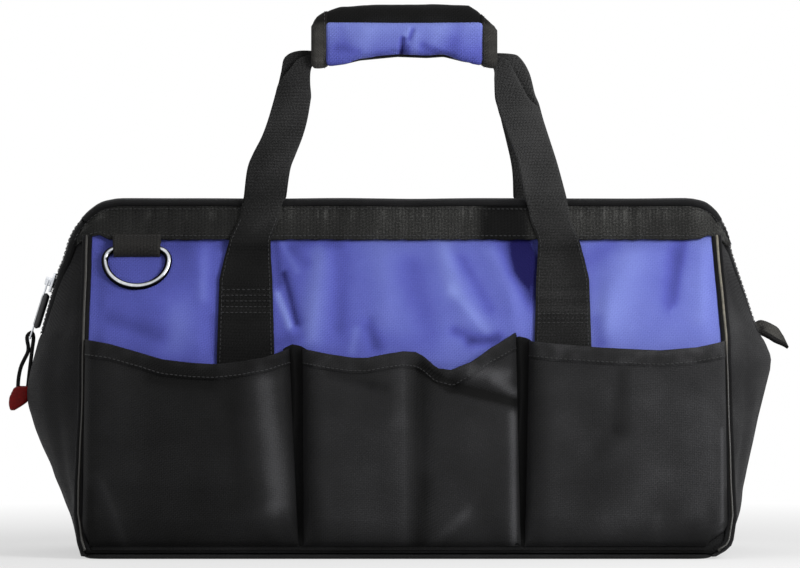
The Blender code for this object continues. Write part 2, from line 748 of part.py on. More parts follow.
def make_tip(pivot):
    """A moulded tip with rounded lower corners."""
    top = -TIP_DROP
    bottom = top - TIP_HEIGHT
    far = TIP_IN + TIP_WIDTH
    outline = [(TIP_IN, top), (far - TIP_ROUND / 2, top), (far, top - TIP_ROUND / 2)]
    for turn in range(0, 91, 30):
        angle = radians(turn)
        outline.append((far - TIP_ROUND * (1 - cos(angle)), bottom + TIP_ROUND * (1 - sin(angle))))
    outline.append((TIP_IN, bottom + TIP_ROUND * 2))
    rings = [[off_tab(out, y, up) for out, up in outline] for y in (-TIP_HALF_THICK, TIP_HALF_THICK)]
    ring_solid("pull_tip", rings, "red_rubber", pivot)


# D-rings and their tabs

def ring_centre_out():
    return ON_SKIN + TAB_LOOP_THICK + FIT + RING_WIRE_RADIUS


def make_ring(side, name, pivot):
    bar_up = WALL_LENGTH - RING_BELOW_TOP
    half = RING_HALF_WIDTH
    corner = RING_CORNER
    line = [(-half + corner, 0), (0, 0), (half - corner, 0)]
    for turn in (30, 60, 90):
        angle = radians(turn)
        line.append((half - corner * (1 - sin(angle)), -corner * (1 - cos(angle))))
    for turn in range(0, 181, 15):
        angle = radians(turn)
        line.append((half * cos(angle), -corner - RING_SIDE - half * RING_BOW_SHARE * sin(angle)))
    for turn in (90, 60, 30):
        angle = radians(turn)
        line.append((-half + corner * (1 - sin(angle)), -corner * (1 - cos(angle))))
    centre = side * RING_X
    points = [on_wall(side, centre + x, bar_up + up, ring_centre_out()) for x, up in line]
    out = on_wall(side, 0, 0, 1) - on_wall(side, 0, 0, 0)
    ring_solid(name, tube_rings(points, RING_WIRE_RADIUS, out, joined=True), "steel", pivot, joined=True)


def make_tab(side, name, pivot):
    """A webbing loop round the ring's straight bar, tucked under the top band."""
    bar_up = WALL_LENGTH - RING_BELOW_TOP
    near = RING_WIRE_RADIUS + FIT
    far = near + TAB_LOOP_THICK
    centre_out = ring_centre_out()
    tuck_up = BAND_BOTTOM + TAB_TUCK
    outer = [(tuck_up, ON_SKIN)]
    inner = [(tuck_up, ON_SKIN + TAB_LOOP_THICK)]
    for turn in range(0, TAB_WRAP + 1, 15):
        angle = radians(turn)
        outer.append((bar_up - far * sin(angle), centre_out - far * cos(angle)))
        inner.append((bar_up - near * sin(angle), centre_out - near * cos(angle)))
    centre = side * RING_X
    section = outer + list(reversed(inner))
    rings = []
    for x in (centre - TAB_WIDTH / 2, centre + TAB_WIDTH / 2):
        rings.append([on_wall(side, x, up, out) for up, out in section])
    ring_solid(name, rings, "black_webbing", pivot)


# Handles and hand grip

def handle_hinge(side):
    """Where a handle bends. It is far enough out for the leg to fold down over the sewn strap."""
    return on_wall(side, 0, WALL_LENGTH - HANDLE_HINGE_BELOW_TOP, ON_STRAP + STRAP_THICK / 2)


GRIP_TOP = handle_hinge(1).z + HANDLE_RISE
GRIP_BOTTOM = GRIP_TOP - GRIP_HEIGHT
HAND_HEIGHT = GRIP_TOP - HAND_BELOW_TOP


def handle_line(low):
    """A handle's line from its right strap to the middle of the hand: distance from the centre, height, width."""
    corner = [(GRIP_HALF_LENGTH + out, HAND_HEIGHT - drop, width) for out, drop, width in HANDLE_CORNER]
    corner_x, corner_z, _ = corner[0]
    leg = []
    for (across, up), width in zip(HANDLE_LEG_SHARES, HANDLE_LEG_WIDTHS):
        leg.append((mix(corner_x, STRAP_TOP_X, across), mix(low, corner_z, up), width))
    return [*leg, *corner, (0, HAND_HEIGHT, HAND_WIDTH)]


def make_handle(side, name, pivot):
    hinge = handle_hinge(side)
    face = HAND_WEB_FACE + STRAP_THICK / 2
    lean_height = (HAND_HEIGHT - hinge.z) * HANDLE_LEAN_SHARE
    right = []
    for x, z, width in handle_line(hinge.z):
        lean = smooth_step((z - hinge.z) / lean_height)
        right.append((Vector((x, side * mix(abs(hinge.y), face, lean), z)), width))
    left = [(Vector((-place.x, place.y, place.z)), width) for place, width in right[:-1]]
    line = left + list(reversed(right))
    places = [place for place, _ in line]
    facing = Vector((0, side, 0))
    rings = []
    for here, (place, width) in enumerate(line):
        along = places[min(here + 1, len(line) - 1)] - places[max(here - 1, 0)]
        if here in (0, len(line) - 1):
            along = Vector((0, 0, 1 if here == 0 else -1))
        rings.append(strip_ring(place, along.normalized(), width, STRAP_THICK, facing))
    width = line[0][1]
    for drop_share, thick_share in reversed(KNUCKLE_SHARES):
        down = Vector((0, 0, -STRAP_THICK * drop_share))
        thick = STRAP_THICK * thick_share
        rings.insert(0, strip_ring(places[0] + down, Vector((0, 0, 1)), width, thick, facing))
        rings.append(strip_ring(places[-1] + down, Vector((0, 0, -1)), width, thick, facing))
    ring_solid(name, rings, "black_webbing", pivot)


def grip_section(x, grow):
    """Half of the wrap's outer outline, as distance from the centre plane and height."""
    bottom = GRIP_BOTTOM + GRIP_ARCH * (1 - (x / GRIP_HALF_LENGTH) ** 2) - grow
    top = GRIP_TOP + grow
    depth = GRIP_DEPTH + grow
    upper = [(depth * out, top - GRIP_ROUND * down) for out, down in GRIP_ROUND_SHARES]
    lower = [(depth * out, bottom + GRIP_ROUND * up) for out, up in reversed(GRIP_ROUND_SHARES)]
    return [(GRIP_FACE, top), *upper, *lower, (GRIP_FACE, bottom)]


def grip_places(low, high, count):
    return [mix(low, high, step / (count - 1)) for step in range(count)]


def make_wrap(side, name, pivot):
    """Half of the hand grip, closed round one handle's webbing."""
    slot = HAND_WEB_FACE + STRAP_THICK + FIT
    rings = []
    for x in grip_places(-GRIP_HALF_LENGTH, GRIP_HALF_LENGTH, GRIP_PLACES):
        outer = grip_section(x, 0)
        top = outer[0][1] - GRIP_LIP
        bottom = outer[-1][1] + GRIP_LIP
        section = outer + [(GRIP_FACE, bottom), (slot, bottom), (slot, top), (GRIP_FACE, top)]
        rings.append([Vector((x, side * y, z)) for y, z in section])
    ring_solid(name, rings, "black_fabric", pivot)


def make_pad(pivot):
    """The blue pad on the front of the grip, between the end bindings."""
    half = GRIP_HALF_LENGTH - BINDING_LENGTH - FIT
    rings = []
    for x in grip_places(-half, half, GRIP_PLACES):
        low = grip_section(x, 2 * FIT)
        inner = [low[3], low[4], low[5]]
        inner[0] = (inner[0][0], GRIP_TOP - PAD_TOP_DROP)
        high = grip_section(x, PAD_THICK)
        outer = [high[5], high[4], (high[3][0], GRIP_TOP - PAD_TOP_DROP - PAD_THICK), (high[2][0], inner[0][1])]
        rings.append([Vector((x, -y, z)) for y, z in inner + outer])
    ring_solid("grip_pad", rings, "blue_fabric", pivot)


def make_binding(side, end, name, pivot):
    """A folded tape over an end of the grip."""
    rings = []
    for x in grip_places(GRIP_HALF_LENGTH - BINDING_LENGTH, GRIP_HALF_LENGTH, 3):
        outer = grip_section(x, FIT + BINDING_THICK)
        inner = grip_section(x, FIT)
        rings.append([Vector((end * x, side * y, z)) for y, z in outer + list(reversed(inner))])
    ring_solid(name, rings, "black_webbing", pivot)


# The assembly

world_place = {}
SIDES = {"front": -1, "back": 1}
ENDS = {"left": -1, "right": 1}


def make_side(label, side):
    wall = make_pivot(f"{label}_wall_pivot", Vector((0, side * HALF_DEPTH, HINGE_HEIGHT)))
    make_wall_panel(side, f"{label}_wall_panel", wall)
    make_skin(side, f"{label}_blue_panel", wall)
    make_band(side, f"{label}_top_band", wall)
    make_wire(side, f"{label}_frame_wire", wall)
    make_zip_half(side, label, wall)
    for pocket in POCKET_EDGE_SHARES:
        make_pocket(side, pocket, f"{label}_pocket_{pocket}", wall)
        make_hem(side, pocket, f"{label}_hem_{pocket}", wall)
    for place, end in ENDS.items():
        make_strap(side, end, f"{label}_strap_{place}", wall)
        make_piping(side, end, f"{label}_piping_{place}", wall)
        make_flap(side, end, f"{label}_flap_{place}", wall)
    make_tab(side, f"{label}_ring_tab", wall)
    bar = on_wall(side, side * RING_X, WALL_LENGTH - RING_BELOW_TOP, ring_centre_out())
    ring = make_pivot(f"{label}_ring_pivot", bar, wall)
    make_ring(side, f"{label}_ring", ring)
    handle = make_pivot(f"{label}_handle_pivot", handle_hinge(side), wall)
    make_handle(side, f"{label}_handle_webbing", handle)
    make_wrap(side, f"{label}_grip_wrap", handle)
    for place, end in ENDS.items():
        make_binding(side, end, f"{label}_grip_binding_{place}", handle)
    if label == "front":
        make_pad(handle)


make_base()
for end_label, end_sign in ENDS.items():
    make_gusset(end_sign, end_label)
    make_zip_end(end_sign, end_label)
make_tongue()
for side_label, side_sign in SIDES.items():
    make_side(side_label, side_sign)
slider_pivot = make_pivot("slider_pivot", on_zip_end(-1, SLIDER_PLACE, 0, 0))
make_slider(slider_pivot)
pull_pivot = make_pivot("pull_pivot", on_zip_end(-1, SLIDER_PLACE, 0, PULL_AXIS_HEIGHT), slider_pivot)
make_pull(pull_pivot)
make_cord(pull_pivot)
make_tip(pull_pivot)
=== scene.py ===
import math

import bmesh
import bpy
import numpy as np
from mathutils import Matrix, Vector, noise


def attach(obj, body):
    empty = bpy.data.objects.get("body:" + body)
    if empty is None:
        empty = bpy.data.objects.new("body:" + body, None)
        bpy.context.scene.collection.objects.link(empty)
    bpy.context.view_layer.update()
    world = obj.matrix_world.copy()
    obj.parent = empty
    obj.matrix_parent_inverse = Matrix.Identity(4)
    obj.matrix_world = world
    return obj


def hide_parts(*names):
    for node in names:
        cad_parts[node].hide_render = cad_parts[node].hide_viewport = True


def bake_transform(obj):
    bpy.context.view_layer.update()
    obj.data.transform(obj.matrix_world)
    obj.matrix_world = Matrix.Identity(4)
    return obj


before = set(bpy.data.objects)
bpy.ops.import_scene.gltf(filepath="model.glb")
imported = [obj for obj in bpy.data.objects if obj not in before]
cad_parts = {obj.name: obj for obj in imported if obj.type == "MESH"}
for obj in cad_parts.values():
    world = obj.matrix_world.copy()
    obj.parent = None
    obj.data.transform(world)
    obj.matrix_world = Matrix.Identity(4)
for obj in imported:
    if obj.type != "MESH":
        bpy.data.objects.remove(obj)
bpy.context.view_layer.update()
mm = 0.001
ends = {"left": -1, "right": 1}
sides = {"front": -1, "back": 1}

bag = {"halfWidth": 0.228, "halfDepth": 0.115, "wallTop": 0.2445, "ridgeHalfGap": 0.014,
       "hingeHeight": 0.0045, "cornerRadius": 0.028}
wallRun = bag["halfDepth"] - bag["ridgeHalfGap"]
wallRise = bag["wallTop"] - bag["hingeHeight"]
wallLength = math.hypot(wallRun, wallRise)
leanSin, leanCos = wallRun / wallLength, wallRise / wallLength
bandBottom = wallLength - 0.027
onSkin, bandFace = 0.0021, 0.0057  # how far out from the wall the cloth and the band lie
skinInside = -0.0033  # inner side of the wall, where the cloth of the ends meets it


def hexToLinear(text):
    parts = [int(text[i:i + 2], 16) / 255 for i in (1, 3, 5)]
    return tuple(c / 12.92 if c <= 0.04045 else ((c + 0.055) / 1.055) ** 2.4 for c in parts) + (1.0,)


def evaluated(piece):
    # the piece as a plain mesh, with its modifiers applied
    bpy.context.view_layer.update()
    return bpy.data.meshes.new_from_object(piece.evaluated_get(bpy.context.evaluated_depsgraph_get()))


def addNode(tree, kind, links=None, **settings):
    # settings are the node's own options, links give each socket a value or another node's output
    node = tree.nodes.new(kind)
    for name, value in settings.items():
        setattr(node, name, value)
    for socket, value in (links or {}).items():
        if isinstance(value, bpy.types.NodeSocket):
            tree.links.new(value, node.inputs[socket])
        else:
            node.inputs[socket].default_value = value
    return node


def mix(low, high, share):
    return low + (high - low) * share


def smooth(share):
    share = np.clip(share, 0.0, 1.0)
    return share * share * (3 - 2 * share)


def table(rows, at, column=1):
    # a value read between the rows of a table, whose first column is sorted
    return np.interp(at, [row[0] for row in rows], [row[column] for row in rows])


def segmentDistance(x, z, x0, z0, x1, z1):
    run = max((x1 - x0) ** 2 + (z1 - z0) ** 2, 1e-9)
    along = np.clip(((x - x0) * (x1 - x0) + (z - z0) * (z1 - z0)) / run, 0, 1)
    return np.hypot(x - x0 - along * (x1 - x0), z - z0 - along * (z1 - z0))


def foldField(x, z, folds):
    # soft ridges and valleys along short lines: ends, half width and height, all in millimetres. A line drawn
    # downwards can have a second half width for its left side, which makes one edge of the fold sharper.
    total = np.zeros(np.broadcast(x, z).shape)
    for x0, z0, x1, z1, width, height, *other in folds:
        atRight = (x1 - x0) * (z - z0) - (z1 - z0) * (x - x0) > 0
        wide = np.where(atRight, width, other[0] if other else width)
        total = total + height * np.exp(-(segmentDistance(x, z, x0, z0, x1, z1) / wide) ** 2)
    return total


def softNoise(points, size, seed):
    # smooth noise from -1 to 1 at each place, with lumps of about the given size
    flat = np.asarray(points, float).reshape(-1, 3)
    shift = Vector((seed * 7.13, seed * 3.71, seed * 1.97))
    values = [noise.noise(Vector(p) / size + shift) for p in flat]
    return np.array(values).reshape(np.asarray(points).shape[:-1])


def lineNoise(values, size, seed, offset=0.0):
    # soft noise along one measure
    return softNoise(np.stack([values, values * 0 + offset, values * 0], -1), size, seed)


def softRing(count, half, power, halfUp, powerUp):
    # a rounded oblong as pairs of distances from its middle. Powers below 1 make its sides flatter.
    ring = []
    for step in range(count):
        angle = 2 * math.pi * step / count
        c, s = math.cos(angle), math.sin(angle)
        ring.append((half * math.copysign(abs(c) ** power, c), halfUp * math.copysign(abs(s) ** powerUp, s)))
    return ring


def onWall(side, x, up, out):
    # a place on a wall: across it, up its slope and out from its outer face
    x, up, out = np.broadcast_arrays(np.asarray(x, float), np.asarray(up, float), np.asarray(out, float))
    y = bag["halfDepth"] - up * leanSin + out * leanCos
    z = bag["hingeHeight"] + up * leanCos + out * leanSin
    return np.stack([x, side * y, z], -1)


def upAt(z, out):
    # how far up the slope of a wall a height is
    return (z - bag["hingeHeight"] - out * leanSin) / leanCos


def wallInsideY(z):
    return bag["halfDepth"] - upAt(z, skinInside) * leanSin + skinInside * leanCos


# camera: a long lens from the front, a little above the middle
camera = {"place": (-0.003, -6.0, 0.250), "target": (-0.003, -0.05, 0.1905), "lens": 381.0}
cameraData = bpy.data.cameras.new("camera")
cameraData.lens = camera["lens"]
cameraData.sensor_width = 36.0
cameraData.clip_end = 100.0
cameraItem = bpy.data.objects.new("camera", cameraData)
bpy.context.scene.collection.objects.link(cameraItem)
cameraItem.location = camera["place"]
lookAt = Vector(camera["target"]) - Vector(camera["place"])
cameraItem.rotation_euler = lookAt.to_track_quat("-Z", "Y").to_euler()
bpy.context.scene.camera = cameraItem

# places on the straight stretch of zip at the left end
zipLow, zipHigh = Vector((0.258, 0, 0.155)), Vector((0.240, 0, 0.2125))
zipAlong = (zipHigh - zipLow).normalized()
zipOut = Vector((zipAlong.z, 0, -zipAlong.x))
pull = {"place": 0.0370, "axisHeight": 0.0058, "tabLength": 0.043, "cordRadius": 0.0014,
        "cordSteps": 36, "pressHalf": 0.0085}


def onZipEnd(along, y, out):
    # a place measured along and out from the straight stretch of zip
    place = zipLow + zipAlong * along + zipOut * out
    return Vector((-place.x, y, place.z))


def offTab(out, y, up):
    # a place measured from the lower end of the pull's tab
    return onZipEnd(pull["place"] - pull["tabLength"], 0, pull["axisHeight"]) + Vector((-out, y, up))


def curvePlaces(points, count):
    # evenly stepped places on a smooth curve through the points
    padded = [points[0] * 2 - points[1], *points, points[-1] * 2 - points[-2]]
    spans = len(points) - 1
    places = []
    for step in range(count):
        along = step * spans / (count - 1)
        span = min(int(along), spans - 1)
        share = along - span
        a, b, c, d = padded[span:span + 4]
        bend = (a * 2 - b * 5 + c * 4 - d) * share * share
        twist = (b * 3 - a - c * 3 + d) * share * share * share
        places.append((b * 2 + (c - a) * share + bend + twist) / 2)
    return places


def frontCurve(rows, count, unit=1.0):
    # a smooth curve as seen from the front, through rows of distance across and height
    places = curvePlaces([Vector((x, 0, z)) * unit for x, z in rows], count)
    return np.array([list(place) for place in places])


def directions(places):
    along = np.gradient(places, axis=0)
    return along / np.linalg.norm(along, axis=-1)[:, None]


# mesh makers

def finishPiece(name, mesh, material):
    piece = bpy.data.objects.new(name, mesh)
    bpy.context.scene.collection.objects.link(piece)
    if material:
        mesh.materials.append(material)
    return piece


def arcLengths(grid, axis):
    # running distance along one direction of a grid of places, measured from the middle
    steps = np.linalg.norm(np.diff(grid, axis=axis), axis=-1)
    start = np.zeros_like(np.take(steps, [0], axis=axis))
    total = np.concatenate([start, np.cumsum(steps, axis=axis)], axis=axis)
    return total - np.take(total, [grid.shape[axis] // 2], axis=axis)


def sheetPiece(name, grid, material, thick=0.0, flip=False, closed=False, marks=None, uv=None, even=True):
    # a sheet through rows and columns of places. Its UV map is in metres, so the weave keeps its real size.
    grid = np.asarray(grid, float)
    rows, columns = grid.shape[:2]
    faces, corners = [], []
    spans = columns if closed else columns - 1
    if uv is None:
        uv = np.stack([arcLengths(grid, 1), arcLengths(grid, 0)], -1)
    for r in range(rows - 1):
        for c in range(spans):
            quad = [(r, c), (r, (c + 1) % columns), (r + 1, (c + 1) % columns), (r + 1, c)]
            if flip:
                quad.reverse()
            faces.append([row * columns + column for row, column in quad])
            corners += quad
    mesh = bpy.data.meshes.new(name)
    mesh.from_pydata(grid.reshape(-1, 3).tolist(), [], faces)
    layer = mesh.uv_layers.new(name="cloth")
    layer.data.foreach_set("uv", np.array([uv[r, c] for r, c in corners], float).reshape(-1))
    for mark, values in (marks or {}).items():
        attribute = mesh.attributes.new(mark, "FLOAT", "POINT")
        values = np.broadcast_to(values, (rows, columns))
        attribute.data.foreach_set("value", np.ascontiguousarray(values, np.float32).reshape(-1))
    mesh.polygons.foreach_set("use_smooth", [True] * len(mesh.polygons))
    mesh.update()
    piece = finishPiece(name, mesh, material)
    if thick:
        solid = piece.modifiers.new("thickness", "SOLIDIFY")
        solid.thickness = thick
        solid.offset = -1.0
        solid.use_even_offset = even
        solid.use_quality_normals = True
    return piece


def tubeGrid(points, radius, sides, joined=False):
    # round rings along a line, carried without twisting
    points = [Vector(p) for p in points]
    count = len(points)
    rings = []
    across = None
    for here in range(count):
        before = points[here - 1] if here or joined else points[here]
        after = points[(here + 1) % count] if here + 1 < count or joined else points[here]
        along = (after - before).normalized()
        if across is None:
            across = along.orthogonal().normalized()
        across = (across - along * across.dot(along)).normalized()
        second = along.cross(across)
        ring = []
        for side in range(sides):
            angle = 2 * math.pi * side / sides
            ring.append(points[here] + (across * math.cos(angle) + second * math.sin(angle)) * radius)
        rings.append([list(p) for p in ring])
    return np.array(rings)


def closeEnds(piece, sides, softEdge=True):
    # flat faces over the first and last ring of a closed sheet
    build = bmesh.new()
    build.from_mesh(piece.data)
    build.verts.ensure_lookup_table()
    for first in (0, len(build.verts) - sides):
        build.faces.new([build.verts[first + i] for i in range(sides)]).smooth = softEdge
    bmesh.ops.recalc_face_normals(build, faces=build.faces)
    build.to_mesh(piece.data)
    build.free()


def tubePiece(name, points, radius, material, sides=14, joined=False, facing=None, paintedDarkReflection=None):
    grid = tubeGrid(points, radius, sides, joined)
    marks = {} if paintedDarkReflection is None else {"paintedDarkReflection": np.repeat(paintedDarkReflection[:, None], sides, 1)}
    # painted reflection: the wire is painted dark all round, but for a strip turned to the given direction
    if facing is not None:  # the sides of the wire mirror the dark cloth next to them
        lean = (grid - grid.mean(1)[:, None, :]) @ np.asarray(facing) / radius
        marks["paintedDarkReflection"] = 1 - smooth((lean - 0.92) / 0.05)
    if joined:
        grid = np.concatenate([grid, grid[:1]], 0)
        marks = {mark: np.concatenate([values, values[:1]], 0) for mark, values in marks.items()}
    around = np.arange(sides) / sides * 2 * math.pi * radius
    along = np.concatenate([[0], np.cumsum(np.linalg.norm(np.diff(grid.mean(1), axis=0), axis=-1))])
    uv = np.stack(np.meshgrid(around, along), -1)
    piece = sheetPiece(name, grid, material, closed=True, uv=uv, marks=marks)
    if not joined:
        closeEnds(piece, sides)
        return piece
    build = bmesh.new()
    build.from_mesh(piece.data)
    bmesh.ops.remove_doubles(build, verts=build.verts, dist=1e-7)
    bmesh.ops.recalc_face_normals(build, faces=build.faces)
    build.to_mesh(piece.data)
    build.free()
    return piece


def roundedCopy(node, name, width, material, segments=2):
    # a merged copy of a CAD solid with its edges rounded. It takes the solid's place.
    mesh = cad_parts[node].data.copy()
    mesh.name = name
    mesh.materials.clear()
    build = bmesh.new()
    build.from_mesh(mesh)
    bmesh.ops.remove_doubles(build, verts=build.verts, dist=1e-6)
    bmesh.ops.dissolve_limit(build, angle_limit=math.radians(1), verts=build.verts, edges=build.edges)
    bmesh.ops.recalc_face_normals(build, faces=build.faces)
    for face in build.faces:
        face.smooth = True
    build.to_mesh(mesh)
    build.free()
    piece = finishPiece(name, mesh, material)
    edge = piece.modifiers.new("edge", "BEVEL")
    edge.width = width
    edge.segments = segments
    edge.limit_method = "ANGLE"
    edge.angle_limit = math.radians(25)
    edge.harden_normals = True
    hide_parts(node)
    return piece


# Geometry Nodes: one small bead of the given size at every pitch along each line of a mesh of edges
def beadTree():
    tree = bpy.data.node_groups.new("beadsAlongLine", "GeometryNodeTree")
    face = tree.interface
    face.new_socket("Geometry", in_out="INPUT", socket_type="NodeSocketGeometry")
    for name, value in (("Pitch", 0.003), ("Length", 0.002), ("Width", 0.0007), ("Thickness", 0.0005)):
        face.new_socket(name, in_out="INPUT", socket_type="NodeSocketFloat").default_value = value
    face.new_socket("Across", in_out="INPUT", socket_type="NodeSocketVector").default_value = (0, 1, 0)
    face.new_socket("Wobble", in_out="INPUT", socket_type="NodeSocketFloat").default_value = 0.05
    face.new_socket("Material", in_out="INPUT", socket_type="NodeSocketMaterial")
    face.new_socket("Geometry", in_out="OUTPUT", socket_type="NodeSocketGeometry")
    start = addNode(tree, "NodeGroupInput")
    line = addNode(tree, "GeometryNodeMeshToCurve", {"Mesh": start.outputs["Geometry"]})
    steps = addNode(tree, "GeometryNodeResampleCurve", {"Curve": line.outputs["Curve"],
                                                       "Length": start.outputs["Pitch"]}, mode="LENGTH")
    tangent = addNode(tree, "GeometryNodeInputTangent")
    along = addNode(tree, "FunctionNodeAlignRotationToVector", {"Vector": tangent.outputs["Tangent"]},
                    axis="Z")
    turned = addNode(tree, "FunctionNodeAlignRotationToVector",
                     {"Rotation": along.outputs["Rotation"], "Vector": start.outputs["Across"]},
                     axis="X", pivot_axis="Z")
    bead = addNode(tree, "GeometryNodeMeshUVSphere", {"Segments": 6, "Rings": 4, "Radius": 0.5})
    size = addNode(tree, "ShaderNodeCombineXYZ",
                   {"X": start.outputs["Width"], "Y": start.outputs["Thickness"],
                    "Z": start.outputs["Length"]})
    chance = addNode(tree, "FunctionNodeRandomValue",
                     {"Min": (0.0, 0.0, 0.0), "Max": (1.0, 1.0, 1.0), "Seed": 5}, data_type="FLOAT_VECTOR")
    spread = addNode(tree, "ShaderNodeVectorMath", {0: chance.outputs["Value"], 1: (0.5, 0.5, 0.5)},
                     operation="SUBTRACT")
    amount = addNode(tree, "ShaderNodeVectorMath",
                     {0: spread.outputs["Vector"], "Scale": start.outputs["Wobble"]}, operation="SCALE")
    factor = addNode(tree, "ShaderNodeVectorMath", {0: amount.outputs["Vector"], 1: (1.0, 1.0, 1.0)},
                     operation="ADD")
    scale = addNode(tree, "ShaderNodeVectorMath", {0: size.outputs["Vector"], 1: factor.outputs["Vector"]},
                    operation="MULTIPLY")
    placed = addNode(tree, "GeometryNodeInstanceOnPoints",
                     {"Points": steps.outputs["Curve"], "Instance": bead.outputs["Mesh"],
                      "Rotation": turned.outputs["Rotation"], "Scale": scale.outputs["Vector"]})
    real = addNode(tree, "GeometryNodeRealizeInstances", {"Geometry": placed.outputs["Instances"]})
    smoothed = addNode(tree, "GeometryNodeSetShadeSmooth", {"Geometry": real.outputs["Geometry"]})
    painted = addNode(tree, "GeometryNodeSetMaterial", {"Geometry": smoothed.outputs["Geometry"],
                                                        "Material": start.outputs["Material"]})
    end = addNode(tree, "NodeGroupOutput")
    tree.links.new(painted.outputs["Geometry"], end.inputs["Geometry"])
    return tree


beads = beadTree()


def beadPiece(name, lines, material, sizes, across=(0, 1, 0), wobble=0.05):
    verts, edges = [], []
    for line in lines:
        first = len(verts)
        verts += [list(map(float, p)) for p in line]
        edges += [(first + i, first + i + 1) for i in range(len(line) - 1)]
    mesh = bpy.data.meshes.new(name + "_lines")
    mesh.from_pydata(verts, edges, [])
    guide = finishPiece(name + "_lines", mesh, None)
    step = guide.modifiers.new("beads", "NODES")
    step.node_group = beads
    values = dict(zip(("Pitch", "Length", "Width", "Thickness"), sizes))
    values.update({"Across": across, "Wobble": wobble, "Material": material})
    for item in beads.interface.items_tree:
        if item.in_out == "INPUT" and item.name in values:
            step[item.identifier] = values[item.name]
    guide.update_tag()
    made = evaluated(guide)
    made.name = name
    guide.modifiers.clear()
    bpy.data.objects.remove(guide)
    return finishPiece(name, made, None)


# materials

def newMaterial(name):
    material = bpy.data.materials.new(name)
    material.use_nodes = True
    tree = material.node_tree
    tree.nodes.clear()
    shader = addNode(tree, "ShaderNodeBsdfPrincipled")
    out = addNode(tree, "ShaderNodeOutputMaterial", {"Surface": shader.outputs["BSDF"]})
    out.location = (300, 0)
    return material, tree, shader


noiseSpan = (0.3, 0.7)  # a noise texture's values lie nearly all between these


def weaveTree():
    # plain weave: warp and weft threads that pass over each other in turn, as a height from 0 to 1
    tree = bpy.data.node_groups.new("plainWeave", "ShaderNodeTree")
    tree.interface.new_socket("Vector", in_out="INPUT", socket_type="NodeSocketVector")
    tree.interface.new_socket("Threads", in_out="INPUT", socket_type="NodeSocketVector")
    tree.interface.new_socket("Height", in_out="OUTPUT", socket_type="NodeSocketFloat")
    start = addNode(tree, "NodeGroupInput")
    threads = addNode(tree, "ShaderNodeVectorMath", {0: start.outputs["Vector"], 1: start.outputs["Threads"]},
                      operation="MULTIPLY")
    parts = addNode(tree, "ShaderNodeSeparateXYZ", {0: threads.outputs["Vector"]})
    crowns, cells = [], []
    for axis in ("X", "Y"):
        turn = addNode(tree, "ShaderNodeMath", {0: parts.outputs[axis], 1: math.pi}, operation="MULTIPLY")
        wave = addNode(tree, "ShaderNodeMath", {0: turn.outputs[0]}, operation="SINE")
        crowns.append(addNode(tree, "ShaderNodeMath", {0: wave.outputs[0]}, operation="ABSOLUTE"))
        cells.append(addNode(tree, "ShaderNodeMath", {0: parts.outputs[axis]}, operation="FLOOR"))
    both = addNode(tree, "ShaderNodeMath", {0: cells[0].outputs[0], 1: cells[1].outputs[0]}, operation="ADD")
    half = addNode(tree, "ShaderNodeMath", {0: both.outputs[0], 1: 0.5}, operation="MULTIPLY")
    odd = addNode(tree, "ShaderNodeMath", {0: half.outputs[0]}, operation="FRACT")
    over = addNode(tree, "ShaderNodeMath", {0: odd.outputs[0], 1: 2.0}, operation="MULTIPLY")
    height = addNode(tree, "ShaderNodeMix", {0: over.outputs[0], 2: crowns[0].outputs[0],
                                             3: crowns[1].outputs[0]})
    end = addNode(tree, "NodeGroupOutput")
    tree.links.new(height.outputs[0], end.inputs["Height"])
    return tree


weave = weaveTree()


def wovenCloth(name, dark, middle, light, threads, roughness, sheen, tint, relief=0.00025, patches=0.35,
               fleck=0.18, contrast=1.0):
    # painted shade lies in the creases and painted light on the crests, set by each piece's mark; threads is
    # per metre along and across
    material, tree, shader = newMaterial(name)
    cloth = addNode(tree, "ShaderNodeUVMap", uv_map="cloth")
    height = addNode(tree, "ShaderNodeGroup", {"Vector": cloth.outputs["UV"], "Threads": (*threads, 1.0)},
                     node_tree=weave)
    foldAndPaintedShade = addNode(tree, "ShaderNodeAttribute", attribute_name="foldAndPaintedShade")
    place = addNode(tree, "ShaderNodeTexCoord")
    clouds = addNode(tree, "ShaderNodeTexNoise", {"Vector": place.outputs["Object"], "Scale": 22.0,
                                                  "Detail": 3.0, "Roughness": 0.5})
    grain = addNode(tree, "ShaderNodeTexNoise", {"Vector": cloth.outputs["UV"], "Scale": 900.0,
                                                 "Detail": 2.0})
    level = foldAndPaintedShade.outputs["Fac"]
    for source, low, high, reach in ((clouds, *noiseSpan, (-patches, patches)),
                                     (grain, *noiseSpan, (-fleck, fleck)),
                                     (height, 0.2, 1.0, (-0.22 * contrast, 0.14 * contrast))):
        part = addNode(tree, "ShaderNodeMapRange", {0: source.outputs[0], 1: low, 2: high, 3: reach[0],
                                                    4: reach[1]})
        level = addNode(tree, "ShaderNodeMath", {0: level, 1: part.outputs[0]}, operation="ADD").outputs[0]
    share = addNode(tree, "ShaderNodeMapRange", {0: level, 1: -1.0, 2: 1.0})
    ramp = addNode(tree, "ShaderNodeValToRGB", {"Fac": share.outputs[0]})
    ramp.color_ramp.elements[0].color = hexToLinear(dark)
    ramp.color_ramp.elements[1].color = hexToLinear(light)
    ramp.color_ramp.elements.new(0.5).color = hexToLinear(middle)
    rough = addNode(tree, "ShaderNodeMapRange", {0: height.outputs[0], 3: min(roughness + 0.1, 1),
                                                 4: roughness})
    fuzz = addNode(tree, "ShaderNodeMath", {0: grain.outputs[0], 1: 0.5, 2: height.outputs[0]},
                   operation="MULTIPLY_ADD")
    bump = addNode(tree, "ShaderNodeBump", {"Height": fuzz.outputs[0], "Distance": relief, "Strength": 0.8})
    for socket, output in (("Base Color", ramp.outputs["Color"]), ("Roughness", rough.outputs[0]),
                           ("Normal", bump.outputs["Normal"])):
        tree.links.new(output, shader.inputs[socket])
    for socket, value in (("Sheen Weight", sheen), ("Sheen Roughness", 0.45), ("IOR", 1.48),
                          ("Sheen Tint", hexToLinear(tint)), ("Specular IOR Level", 0.10)):
        shader.inputs[socket].default_value = value
    return material


